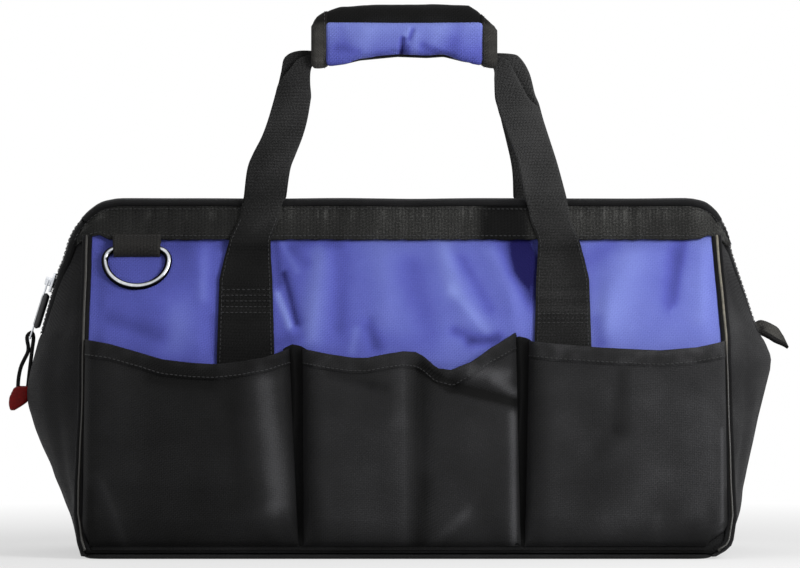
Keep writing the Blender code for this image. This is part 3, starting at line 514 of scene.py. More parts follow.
# polyester oxford, 600 denier: matt, with an even grain. Its threads are 0.6 mm apart, drawn at 1.3 mm.
oxfordThreads, fineThreads, tapeThreads = (770, 770), (900, 900), (1100, 1100)
blackCloth = wovenCloth("wovenPolyesterBlack", "#0a0a0a", "#262627", "#4e4e50", oxfordThreads, 0.66, 0.03,
                        "#8d8d92", patches=0.2)
# the ends of the bag: the same cloth, a little greyer in its middle tone
gussetCloth = wovenCloth("wovenPolyesterGusset", "#0c0c0d", "#29292a", "#4a4a4b", oxfordThreads, 0.68, 0.03,
                         "#8d8d92")
# dyed blue: painted shade turns its creases to a deep navy and painted light its crests to a pale violet blue
blueCloth = wovenCloth("wovenPolyesterBlue", "#17154f", "#5d63bd", "#8b99e4", oxfordThreads, 0.58, 0.04,
                       "#b9bff2", patches=0.12, fleck=0.08, contrast=0.4)
# taffeta lining, 0.3 mm threads drawn at 1.1 mm: dull and nearly even in tone
liningCloth = wovenCloth("wovenLining", "#0a0a0b", "#19191a", "#2a2a2c", fineThreads, 0.8, 0.08, "#77777c")
# polypropylene webbing: ribs 1.2 mm apart across the strap, drawn at 2.3 mm, with a slight fuzzy sheen
ribsAcross, ribsAlong, ribHeight = (430, 900), (900, 430), 0.0004
bandWebbing = wovenCloth("ribbedWebbingBand", "#080808", "#2a2a29", "#5a5a58", ribsAcross, 0.7, 0.04,
                         "#9a9a98", relief=ribHeight, patches=0.25, fleck=0.4)
strapWebbing = wovenCloth("ribbedWebbingStrap", "#040404", "#1c1c1c", "#404040", ribsAlong, 0.7, 0.1,
                          "#8a8a8a", relief=ribHeight, patches=0.25, fleck=0.35)
tabWebbing = wovenCloth("ribbedWebbingTab", "#0d0d0c", "#2a2928", "#4e4d49", ribsAcross, 0.72, 0.1,
                        "#8a8a8a", relief=ribHeight, patches=0.3, fleck=0.3)
# woven binding tape, 0.4 mm threads drawn at 1.1 mm: brownish, paler on its crown
edgingTape = wovenCloth("bindingTape", "#161514", "#3b3a38", "#5e5c58", fineThreads, 0.7, 0.05, "#8a8a8a")
# woven zip tape, 0.3 mm threads drawn at 0.9 mm: the blackest cloth on the bag
tapeCloth = wovenCloth("zipTape", "#020202", "#0e0e0f", "#262627", tapeThreads, 0.7, 0.1, "#77777c")


def plainFinish(name, low, high, roughness, metallic=0.0, grainScale=300.0, relief=0.00008, ior=None,
                specular=0.5):
    # a smooth or moulded finish: two close tones in fine grain, with roughness that follows it
    material, tree, shader = newMaterial(name)
    place = addNode(tree, "ShaderNodeTexCoord")
    grain = addNode(tree, "ShaderNodeTexNoise", {"Vector": place.outputs["Object"], "Scale": grainScale,
                                                 "Detail": 4.0, "Roughness": 0.6})
    worn = addNode(tree, "ShaderNodeTexNoise", {"Vector": place.outputs["Object"], "Scale": grainScale / 12,
                                                "Detail": 2.0})
    both = addNode(tree, "ShaderNodeMath", {0: grain.outputs[0], 1: worn.outputs[0]}, operation="ADD")
    share = addNode(tree, "ShaderNodeMapRange", {0: both.outputs[0], 1: 0.7, 2: 1.3})
    ramp = addNode(tree, "ShaderNodeValToRGB", {"Fac": share.outputs[0]})
    ramp.color_ramp.elements[0].color = hexToLinear(low)
    ramp.color_ramp.elements[1].color = hexToLinear(high)
    rough = addNode(tree, "ShaderNodeMapRange", {0: both.outputs[0], 1: 0.7, 2: 1.3, 3: roughness[0],
                                                 4: roughness[1]})
    # where its mark is set, the finish is painted dark, a painted reflection of the dark cloth beside it
    paintedDarkReflection = addNode(tree, "ShaderNodeAttribute", attribute_name="paintedDarkReflection")
    paintedTone = addNode(tree, "ShaderNodeMix", {0: paintedDarkReflection.outputs["Fac"], 6: ramp.outputs["Color"],
                                           7: hexToLinear("#0b0c0e")}, data_type="RGBA")
    bump = addNode(tree, "ShaderNodeBump", {"Height": grain.outputs[0], "Distance": relief, "Strength": 0.5})
    for socket, output in (("Base Color", paintedTone.outputs[2]), ("Roughness", rough.outputs[0]),
                           ("Normal", bump.outputs["Normal"])):
        tree.links.new(output, shader.inputs[socket])
    shader.inputs["Metallic"].default_value = metallic
    shader.inputs["Specular IOR Level"].default_value = specular
    if ior:
        shader.inputs["IOR"].default_value = ior
    return material


# chrome plate: bright, with faint handling marks
chromedSteel = plainFinish("chromePlatedSteel", "#b9bcc1", "#e2e4e8", (0.12, 0.24), 1.0)
# drawn and zinc plated wire: duller
wireSteel = plainFinish("drawnSteelWire", "#8d8f93", "#a9abaf", (0.30, 0.45), 1.0)
# extruded nylon: slightly glossy black
coilNylon = plainFinish("nylonCoil", "#0b0b0c", "#1c1c1e", (0.30, 0.45), ior=1.53)
# bonded polyester thread: waxed, so each stitch has a soft light
sewingThread = plainFinish("bondedThread", "#0c0c0d", "#2c2c2e", (0.45, 0.60), ior=1.5)
# extruded vinyl: grey-beige and satin
pipingVinyl = plainFinish("vinylPiping", "#45423b", "#7d786a", (0.38, 0.5), ior=1.5)
# moulded rubber: dark red and dull
redRubber = plainFinish("mouldedRubberRed", "#5c0404", "#8c0f0c", (0.42, 0.6), ior=1.52, specular=0.15)
# moulded rubber: black with a soft shine
blackRubber = plainFinish("mouldedRubberBlack", "#0a0a0b", "#1e1e20", (0.35, 0.5), ior=1.52)
# braided nylon: matt black, with grain for the braid
cordNylon = plainFinish("braidedNylonCord", "#050505", "#1a1a1a", (0.6, 0.75), grainScale=900.0,
                        relief=0.0002, ior=1.5, specular=0.1)
# pressed wood fibre: dull brown
hardBoard = plainFinish("hardboard", "#2b2927", "#403d39", (0.6, 0.8), grainScale=120.0, ior=1.5)

# the pull's cord goes up one side of the tab, through its slot and down the other side
cordFeet = ((0.0085, -0.0344), (0.0014, -0.0336))
cordLoop = ((0.0080, -0.0275), (0.0064, -0.0200), (0.0037, -0.0140), (0.0015, -0.0095), (0.0011, -0.0055),
            (0.0018, -0.0015), (0.0018, 0.0022), (-0.0013, 0.0047), (-0.0026, 0.0009), (-0.0018, -0.0060),
            (-0.0006, -0.0160), (0.0006, -0.0260))


def makeCord():
    feet = [offTab(out, 0, up) for out, up in cordFeet]
    route = [feet[0], *(offTab(out, 0, up) for out, up in cordLoop), feet[1]]
    places = curvePlaces(route, pull["cordSteps"])
    data = bpy.data.curves.new("pull_cord_line", "CURVE")
    data.dimensions = "3D"
    data.bevel_depth = pull["cordRadius"]
    data.bevel_resolution = 4
    data.use_fill_caps = True
    spline = data.splines.new("POLY")
    spline.points.add(len(places) - 1)
    for point, place in zip(spline.points, places):
        point.co = (*place, 1)
    spline.use_smooth = True
    cord = finishPiece("pull_cord_line", data, cordNylon)
    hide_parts("pull_cord")
    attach(cord, "pull")
    length = sum((b - a).length for a, b in zip(places, places[1:]))
    return cord, places, length


cordPiece, cordPlaces, cordLength = makeCord()
print("cord", round(cordLength, 4))

# the shell: how far each end reaches out, and where its seam with the wall runs, both by height
endReach = {
    "left": ((0.0, 0.2215), (0.003, 0.2250), (0.009, 0.2285), (0.0203, 0.2310), (0.0287, 0.2336),
             (0.0371, 0.2378), (0.0455, 0.2413), (0.0539, 0.2456), (0.0623, 0.2484), (0.0708, 0.2519),
             (0.0792, 0.2554), (0.0876, 0.2589), (0.0960, 0.2617), (0.1016, 0.2638), (0.1072, 0.2651),
             (0.1130, 0.2653), (0.1180, 0.2648), (0.1240, 0.2636), (0.1300, 0.2622), (0.1352, 0.2610),
             (0.1408, 0.2596), (0.1464, 0.2582), (0.1520, 0.2568), (0.1968, 0.2445), (0.2052, 0.2412),
             (0.2137, 0.2385), (0.2221, 0.2358), (0.2305, 0.2312), (0.2389, 0.2238), (0.2417, 0.2206),
             (0.2445, 0.2168), (0.2468, 0.2120), (0.2485, 0.2040)),
    "right": ((0.0, 0.2115), (0.003, 0.2165), (0.0049, 0.2205), (0.0084, 0.2258), (0.0119, 0.2285),
              (0.0203, 0.2315), (0.0287, 0.2343), (0.0455, 0.2371), (0.0623, 0.2415), (0.0792, 0.2456),
              (0.0960, 0.2491), (0.1128, 0.2533), (0.1296, 0.2575), (0.1380, 0.2582), (0.1464, 0.2547),
              (0.1550, 0.2502), (0.1646, 0.2463), (0.1800, 0.2413), (0.1968, 0.2357), (0.2052, 0.2329),
              (0.2137, 0.2303), (0.2221, 0.2288), (0.2305, 0.2258), (0.2389, 0.2208), (0.2417, 0.2183),
              (0.2445, 0.2152), (0.2468, 0.2112), (0.2485, 0.2040)),
}
seamReach = {
    "left": ((0.0, 0.2195), (0.0035, 0.2215), (0.0119, 0.2243), (0.0203, 0.2252), (0.03, 0.2268),
             (0.105, 0.2252), (0.148, 0.2247), (0.222, 0.2235), (0.25, 0.2230)),
    "right": ((0.0, 0.2085), (0.0035, 0.2147), (0.0049, 0.2175), (0.0084, 0.2231), (0.0119, 0.2252),
              (0.0203, 0.2266), (0.0287, 0.2279), (0.106, 0.2262), (0.153, 0.2258), (0.225, 0.2200),
              (0.25, 0.2190)),
}


def endPoint(label, z, across):
    # a place on the bulging end of the bag, across is from -1 at the front seam to 1 at the back seam
    full = np.clip(1 - np.abs(across) ** 2.2, 0, 1) ** 0.8
    x = mix(table(seamReach[label], z), table(endReach[label], z), full)
    return np.stack(np.broadcast_arrays(ends[label] * x, across * wallInsideY(z), z), -1)


def cornerTop(x):
    # how far up a wall goes, round its two top corners
    past = np.clip((np.abs(x) - bag["halfWidth"] + bag["cornerRadius"]) / bag["cornerRadius"], 0, 1)
    return wallLength - bag["cornerRadius"] * (1 - np.sqrt(1 - past ** 2))


stitchLines = {}


def addStitches(group, points):
    stitchLines.setdefault(group, []).append(np.asarray(points, float).reshape(-1, 3))


blueFolds = (
    (-55.6, 218.6, -64.7, 148.5, 8, 2.5), (-92.9, 215, -76, 162.5, 5, -2.5), (-90.8, 187, -80.2, 155.5, 4, 2),
    (-42.9, 208, -46.4, 152, 6, -1.2), (-14.8, 222, -13.4, 166, 8, 1.0), (4.2, 201, 14.8, 159, 9, -1.2),
    (23.9, 222, 46.4, 166, 8, 2.0), (35.9, 211.6, 60.5, 173, 6, -1.0), (57, 222, 85.1, 159, 7, 2.0),
    (78.1, 222, 92.2, 183.5, 7, -5.0), (35.9, 155.5, 60.5, 148.5, 5, -2.0),
    (-25.3, 162.5, -22.5, 145, 4, -1.5),
    (-208, 164, -172, 153, 6, -1.1), (-178.7, 180, -143.5, 148.5, 12, 1.5), (-147, 218.6, -140, 180, 6, 1.2),
    (166, 218.6, 137.9, 159, 12, 2.0), (190.7, 218.6, 188.6, 180, 7, -1.8), (211.8, 215, 208.3, 166, 6, 1.2),
)
# painted light and shade on the blue cloth, rows as for the folds: light ridges, dark creases and the painted
# shadow beside the right strap
bluePaintedShading = (
    (-60.5, 215.1, -64.7, 152.0, 5, 0.3, 7), (-46.4, 213.7, -45.0, 159.0, 5, -0.2),
    (-18.3, 218.6, -9.9, 162.5, 9, 0.1), (5.6, 201.0, 18.3, 155.5, 9, -0.15),
    (27.4, 218.6, 33.8, 183.5, 6, 0.35), (33.8, 183.5, 57.7, 155.5, 5, 0.4, 3),
    (40.8, 206.6, 60.5, 171.6, 3, -0.22, 5), (61.9, 211.6, 83.0, 176.5, 6, 0.15),
    (83.0, 222.1, 86.0, 202.4, 8.5, -1.6, 13), (88.7, 206.6, 93.5, 182.0, 5.5, -1.3, 8.5),
    (35.9, 156.2, 47.8, 151.3, 3.5, -0.35), (46.4, 148.5, 65.4, 151.3, 4, -0.6),
    (-33.8, 156.9, -36.6, 142.2, 3, 0.3), (-25.3, 159.0, -16.9, 145.0, 4, -0.25),
    (-16.9, 148.5, 18.3, 145.0, 8, -0.15), (-90.1, 217.9, -87.2, 190.5, 3, -0.4),
    (-88.7, 182.8, -80.2, 160.4, 2, 0.9, 3), (-84.4, 196.8, -75.3, 162.5, 2.8, -0.75, 2),
    (-86.5, 217.9, -75.3, 198.2, 2.5, 0.25), (-78.8, 215.1, -69.0, 203.8, 4, -0.25),
    (-73.2, 218.6, -45.0, 217.9, 4, -0.2), (-87.2, 148.5, -73.2, 152.0, 4, -0.2),
    (-205.5, 164.6, -173.1, 153.4, 5.5, -0.22), (-157.6, 171.6, -161.1, 145.0, 12, 0.3),
    (-140.0, 215.1, -141.4, 180.0, 4, 0.22), (-154.1, 215.1, -156.2, 197.5, 8, -0.15),
    (-133.7, 166.0, -133.0, 141.5, 3, -0.25), (-217.4, 218.6, -218.8, 152.0, 3, 0.15),
    (197.0, 222.1, 188.6, 176.5, 4, -0.5, 8), (130.9, 206.6, 146.3, 217.9, 8, -0.25),
    (159.0, 201.0, 144.9, 166.0, 14, 0.2), (135.8, 164.6, 137.9, 148.5, 5, -0.35),
    (213.9, 215.1, 208.3, 166.0, 8, 0.15),
)
strapBounds = ((-240, -222), (-131, -88), (88, 131), (222, 240))


def blueOut(x, z):
    # the blue cloth is loose between the straps and held flat at them, at the band and at the side seams
    xm, zm = x / mm, z / mm
    free = np.ones(np.broadcast(xm, zm).shape)
    for low, high in strapBounds:
        gap = np.maximum(low - xm, xm - high)
        free = free * smooth(gap / 14)
    free = free * smooth((222 - zm) / 16) * smooth((zm - 122) / 14)
    billow = 2.2 + 0.8 * np.sin(xm / 31.0 + 1.0)
    return free, billow, foldField(xm, zm, blueFolds)


# the cloths of a wall: thickness, distance out from the wall, and how far up it each begins or ends
wallCloths = {"liningThick": 0.003, "liningOut": 0.0002, "lowerThick": 0.0012, "lowerOut": 0.0017,
              "lowerTop": 0.124, "blueThick": 0.0008, "blueOut": 0.0018, "blueBottom": 0.121,
              "blueTopGap": 0.018}


def acrossWall(ups, inset, count):
    # places from side seam to side seam, a little inside both, at each height up the wall
    high = bag["hingeHeight"] + ups * leanCos
    return mix(inset - table(seamReach["left"], high), table(seamReach["right"], high) - inset,
               np.linspace(0, 1, count))


def makeWall(label, side):
    flip = side > 0
    wall = label + "_wall"
    # lining, from the hinge to the top edge
    xs = np.concatenate([[-0.2275, -0.224, -0.217], np.linspace(-0.208, 0.208, 60), [0.217, 0.224, 0.2275]])
    ups = np.linspace(0, 1, 34)[:, None] * (cornerTop(xs)[None, :] - 0.0005)
    low = bag["hingeHeight"] + ups * leanCos
    reach = np.where(xs < 0, table(seamReach["left"], low), table(seamReach["right"], low))
    xs = xs / bag["halfWidth"] * reach
    ripple = 0.0006 * softNoise(onWall(side, xs, ups, 0), 0.05, 3)
    places = onWall(side, xs, ups, wallCloths["liningOut"] + np.minimum(ripple, 0))
    # the ripple also paints shade in the lining's dips and light on its rises
    lining = sheetPiece(label + "_lining", places, liningCloth, thick=wallCloths["liningThick"], flip=flip,
                        marks={"foldAndPaintedShade": ripple / mm})
    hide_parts(label + "_wall_panel")
    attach(lining, wall)
    # plain black cloth behind the pockets, and the blue cloth above it
    ups = np.linspace(0.001, wallCloths["lowerTop"], 24)[:, None]
    xs = acrossWall(ups, 0.0012, 60)
    # the black cloth behind the pockets is painted darker, as painted shade
    lower = sheetPiece(label + "_lower_cloth", onWall(side, xs, ups, wallCloths["lowerOut"]), blackCloth,
                       thick=wallCloths["lowerThick"], flip=flip, marks={"foldAndPaintedShade": -0.7})
    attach(lower, wall)
    ups = np.linspace(wallCloths["blueBottom"], wallLength - wallCloths["blueTopGap"], 84)[:, None]
    xs = acrossWall(ups, 0.0018, 280)
    ups = np.minimum(ups, cornerTop(xs) - 0.006)
    places = onWall(side, xs, ups, 0)
    free, billow, folds = blueOut(places[..., 0], places[..., 2])
    crumple = softNoise(places, 0.022, 8 if side < 0 else 21)
    lift = free * (billow + folds * 0.95 + crumple * 0.3) * mm
    # painted light and shade: the table above, a little from the folds and crumples, and painted light
    # growing towards the right
    paintedShading = foldField(places[..., 0] / mm, places[..., 2] / mm, bluePaintedShading)
    shade = np.clip(paintedShading + free ** 0.5 * folds * 0.06, -1.5, 1.0) + crumple * 0.05
    shade = shade + 0.22 * xs / bag["halfWidth"]
    shade = shade + 0.04 + 0.14 * smooth((xs + 0.1) / 0.1)
    places = onWall(side, xs, ups, wallCloths["blueOut"] + np.maximum(lift, 0))
    blue = sheetPiece(label + "_blue_cloth", places, blueCloth, thick=wallCloths["blueThick"], flip=flip,
                      marks={"foldAndPaintedShade": shade})
    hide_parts(label + "_blue_panel")
    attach(blue, wall)


# the band: how it turns the corners of the bag, its thickness, the painted shade of its gathered patch, its
# rows of stitches
bandCorner = {"top": ((0.2075, 0.0193, 0.2460), (0.2145, 0.0192, 0.2436), (0.2208, 0.0190, 0.2390),
                      (0.2265, 0.0188, 0.2325), (0.2312, 0.0186, 0.2260), (0.2340, 0.0184, 0.2190)),
              "low": ((0.2085, 0.0292, 0.2222), (0.2150, 0.0280, 0.2250), (0.2200, 0.0268, 0.2245),
                      (0.2245, 0.0250, 0.2225), (0.2285, 0.0222, 0.2195), (0.2320, 0.0192, 0.2165))}
bandFacts = {"thick": 0.0015, "rows": 12, "innerOut": -0.0105, "darkAt": 0.0705, "darkHalf": 0.016,
             "stitches": (0.09, 0.86)}


def bandColumns():
    # upper and lower edge of the band, place by place. Past the corners both leave the wall's plane.
    straight = np.linspace(-0.200, 0.200, 320)
    rows = {"top": [(x, 0.0194, 0.2463) for x in straight],
            "low": [tuple(onWall(1, x, bandBottom, bandFace)) for x in straight]}
    for end, sign in ends.items():
        inward = 0.0030 if end == "right" else 0.0
        for name, places in bandCorner.items():
            extra = [(sign * (x - inward * smooth((x - 0.21) / 0.02)), y, z) for x, y, z in places]
            if sign < 0:
                rows[name][:0] = reversed(extra)
            else:
                rows[name].extend(extra)
    return np.array(rows["top"]), np.array(rows["low"])


def makeBand(label, side):
    top, low = bandColumns()
    faceRows, innerOut = bandFacts["rows"], bandFacts["innerOut"]
    gather = lineNoise(top[:, 0], 0.007, 2 if side < 0 else 9)
    slow = lineNoise(top[:, 0], 0.03, 4 if side < 0 else 11)
    fine = lineNoise(top[:, 0], 0.0026, 5)
    outward = np.array([0, leanCos, leanSin])
    rows = []
    for step in range(faceRows):
        share = step / (faceRows - 1)
        row = mix(low, top, share)
        puff = (0.0004 + 0.0006 * gather + 0.0005 * slow) * math.sin(math.pi * share) ** 0.7
        row = row + outward * puff[:, None]
        if step == 0:
            row[:, 2] += 0.0006 * gather
        rows.append(row)
    # over the top edge and down inside
    inside = np.clip(top[:, 0], -0.2205, 0.2205)
    crest = cornerTop(inside)
    for turn in (30, 60, 90, 120, 150):
        angle = math.radians(turn)
        out = mix(bandFace, innerOut, (1 - math.cos(angle)) / 2)
        under = onWall(1, inside, crest + 0.0015 + 0.002 * math.sin(angle), out)
        rows.append(mix(top, under, smooth(turn / 90)))
    for step in range(6):
        up = mix(crest, np.minimum(crest, bandBottom), step / 5)
        rows.append(onWall(1, inside, up, innerOut))
    grid = np.array(rows)
    shade = np.zeros(grid.shape[:2])
    height = np.exp(-((np.arange(faceRows) - 8) / 2.2) ** 2)[:, None]
    # random tone along the band, with painted light on the puckered ticks near its top
    shade[:faceRows] = 0.25 * gather + 0.15 * slow + 0.9 * height * np.maximum(fine, 0)
    # painted shade beside the right strap, where the band is gathered hard; the whole band painted a little
    # darker, and lighter towards the right
    dark = np.exp(-((top[:, 0] - bandFacts["darkAt"]) / bandFacts["darkHalf"]) ** 4) if side < 0 else 0
    shade = shade - 1.7 * dark + 0.25 * smooth((top[:, 0] + 0.15) / 0.3) - 0.2
    grid[..., 1] *= side
    band = sheetPiece(label + "_band", grid, bandWebbing, thick=bandFacts["thick"], flip=side > 0,
                      marks={"foldAndPaintedShade": shade}, even=False)
    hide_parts(label + "_top_band")
    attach(band, label + "_wall")
    for share in bandFacts["stitches"]:
        line = mix(low, top, share) + outward * 0.0008
        line[:, 1] *= side
        addStitches(label + "_wall", line)


# carrying straps: height, inner edge and outer edge, in millimetres from the centre, seen from the front
sewnEdges = ((20, 91.5, 131.5), (138, 91, 131.6), (194, 92.8, 130.2), (208, 93.8, 127), (221, 94.3, 123.4),
             (236, 91, 119))
frontLeft = {"inner": ((84.5, 252), (80.6, 271), (76.7, 281.6), (72, 293.8), (68.6, 306), (66.3, 319.6),
                       (65.9, 324), (66.6, 333), (66.2, 341), (64, 345.5), (58, 347)),
             "outer": ((113.3, 252), (111, 271), (107.2, 281.6), (101.0, 293.8), (96.5, 306), (92.6, 319.6),
                       (91.4, 324), (88.6, 333), (80.5, 343), (74, 350), (58, 354))}
frontRight = {"inner": ((84.8, 252), (82.5, 265), (79.5, 277), (73.2, 295), (68, 308), (66, 315),
                        (64.2, 322), (63.7, 334), (63.6, 341), (61, 345.5), (55, 347)),
              "outer": ((114.4, 252), (111, 265), (107.4, 278), (102, 295), (97.5, 309), (94.8, 315),
                        (88, 322), (81.5, 334), (76.5, 343), (71, 350), (55, 354))}
backLeft = {"inner": ((83.8, 252), (81, 271), (77, 283), (73, 295), (70, 306), (68, 318), (67, 324),
                      (67.4, 335), (67, 342), (64, 345.5), (58, 347)),
            "outer": ((113, 252), (110, 271), (107, 282), (100, 296), (96, 308), (92, 320), (90.5, 326),
                      (87.4, 340), (84.6, 350.7), (75.1, 355.3), (58, 355))}
backRight = {"inner": ((77.5, 252), (77, 267), (75.5, 278), (72, 293), (69, 305), (67, 315), (66, 322),
                       (65, 335), (64.4, 342), (61, 345.5), (55, 347)),
             "outer": ((113, 252), (111, 267), (107, 280), (102, 295), (98, 309), (95.5, 318), (92.6, 325),
                       (88.6, 340), (82.1, 350.4), (75, 353.2), (55, 354))}
strapRails = {("front", "left"): frontLeft, ("front", "right"): frontRight, ("back", "left"): backLeft,
              ("back", "right"): backRight}


def strapFaceY(z):
    # outer face of a strap: up the wall, over the band, then leaning in to the middle of the hand grip
    step = smooth((z - 0.2120) / 0.0080)
    out = mix(0.0042, 0.0080, step)
    onIt = bag["halfDepth"] - upAt(z, out) * leanSin + out * leanCos
    lean = smooth((z - 0.2460) / 0.0900)
    free = mix(0.0241, 0.0026, lean)
    return mix(onIt, free, smooth((z - 0.2400) / 0.0060))


strapFacts = {"thick": 0.0019, "columns": 15, "camber": 0.0016, "twist": 0.0022, "rough": 0.0007,
              "stitches": (0.055, 0.945),
              "rows": {"left": (0.1865, 0.1825, 0.1785, 0.1745, 0.1705), "right": (0.1695, 0.1665, 0.1635)}}


def makeStrap(label, side, end):
    sign = ends[end]
    inner, outer = (frontCurve(strapRails[(label, end)][edge], 56, mm) for edge in ("inner", "outer"))
    # the sewn part goes up the wall and meets the free part above the band
    heights = np.concatenate([np.linspace(0.0185, 0.135, 12), np.linspace(0.142, 0.2425, 40)])
    bridge = smooth((heights - 0.221) / 0.031)
    sewnIn, sewnOut = (np.stack([table(sewnEdges, heights / mm, column) * mm, heights * 0, heights], -1)
                       for column in (1, 2))
    sewnIn[:, 0] = mix(sewnIn[:, 0], inner[0, 0] + 0.002, bridge)
    sewnOut[:, 0] = mix(sewnOut[:, 0], outer[0, 0] + 0.001, bridge)
    inner, outer = np.concatenate([sewnIn, inner]), np.concatenate([sewnOut, outer])
    share = np.linspace(0, 1, strapFacts["columns"])[None, :, None]
    grid = inner[:, None, :] * (1 - share) + outer[:, None, :] * share
    across = np.linspace(-1, 1, strapFacts["columns"])[None, :]
    z = grid[..., 2]
    face = strapFaceY(z)
    free = smooth((z - 0.250) / 0.03)
    into = smooth((z - 0.335) / 0.012)
    camber = strapFacts["camber"] * (1 - across ** 2) * free * (1 - into)
    turn = np.sin(np.clip((z - 0.25) / 0.095, 0, 1) * math.pi) * (1 if label == "front" else -1)
    twist = strapFacts["twist"] * across * turn
    rough = softNoise(np.stack([grid[..., 0], face, z], -1), 0.02, 5 + len(label) + len(end))
    rough = strapFacts["rough"] * rough
    y = face + camber + twist * free + rough * (0.35 + 0.65 * free)
    y = np.maximum(y, mix(0.0, 0.0026, smooth((z - 0.3) / 0.03)))
    grid[..., 1] = side * y
    grid[..., 0] *= sign
    # paler at its edges; painted light where it is free, on its lumps and higher up, painted shade low down
    # and on the left strap, and painted ribs of light and shade along the box of stitches
    edge = np.abs(across) ** 6
    shade = np.broadcast_to(0.35 * edge, z.shape) * (0.4 + 0.6 * free) + rough / 0.0025
    shade = shade - 0.35 * smooth((0.160 - z) / 0.02) + 0.45 * smooth((z - 0.215) / 0.02)
    shade = shade - (0.55 if end == "left" else 0.0) + 0.28 * smooth((z - 0.25) / 0.02)
    seam = 0.14 * np.sin(z / 0.0018) * smooth((z - 0.160) / 0.004) * smooth((0.192 - z) / 0.004)
    strap = sheetPiece(f"{label}_strap_web_{end}", grid, strapWebbing, thick=strapFacts["thick"],
                       flip=(side * sign) > 0, marks={"foldAndPaintedShade": shade + seam})
    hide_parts(f"{label}_strap_{end}")
    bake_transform(strap)
    sewn = (heights > 0.12) & (heights < 0.236)
    for share in strapFacts["stitches"]:
        line = mix(sewnIn, sewnOut, share)[sewn]
        line[:, 1] = side * (strapFaceY(line[:, 2]) + 0.0004)
        line[:, 0] *= sign
        addStitches(label + "_wall", line)
    for z in strapFacts["rows"][end]:
        low, high = (table(sewnEdges, z / mm, column) for column in (1, 2))
        xs = np.linspace(low + 3, high - 3, 12) * mm * sign
        y = side * (strapFaceY(z) + 0.0004)
        addStitches(label + "_wall", [(x, y, z) for x in xs])


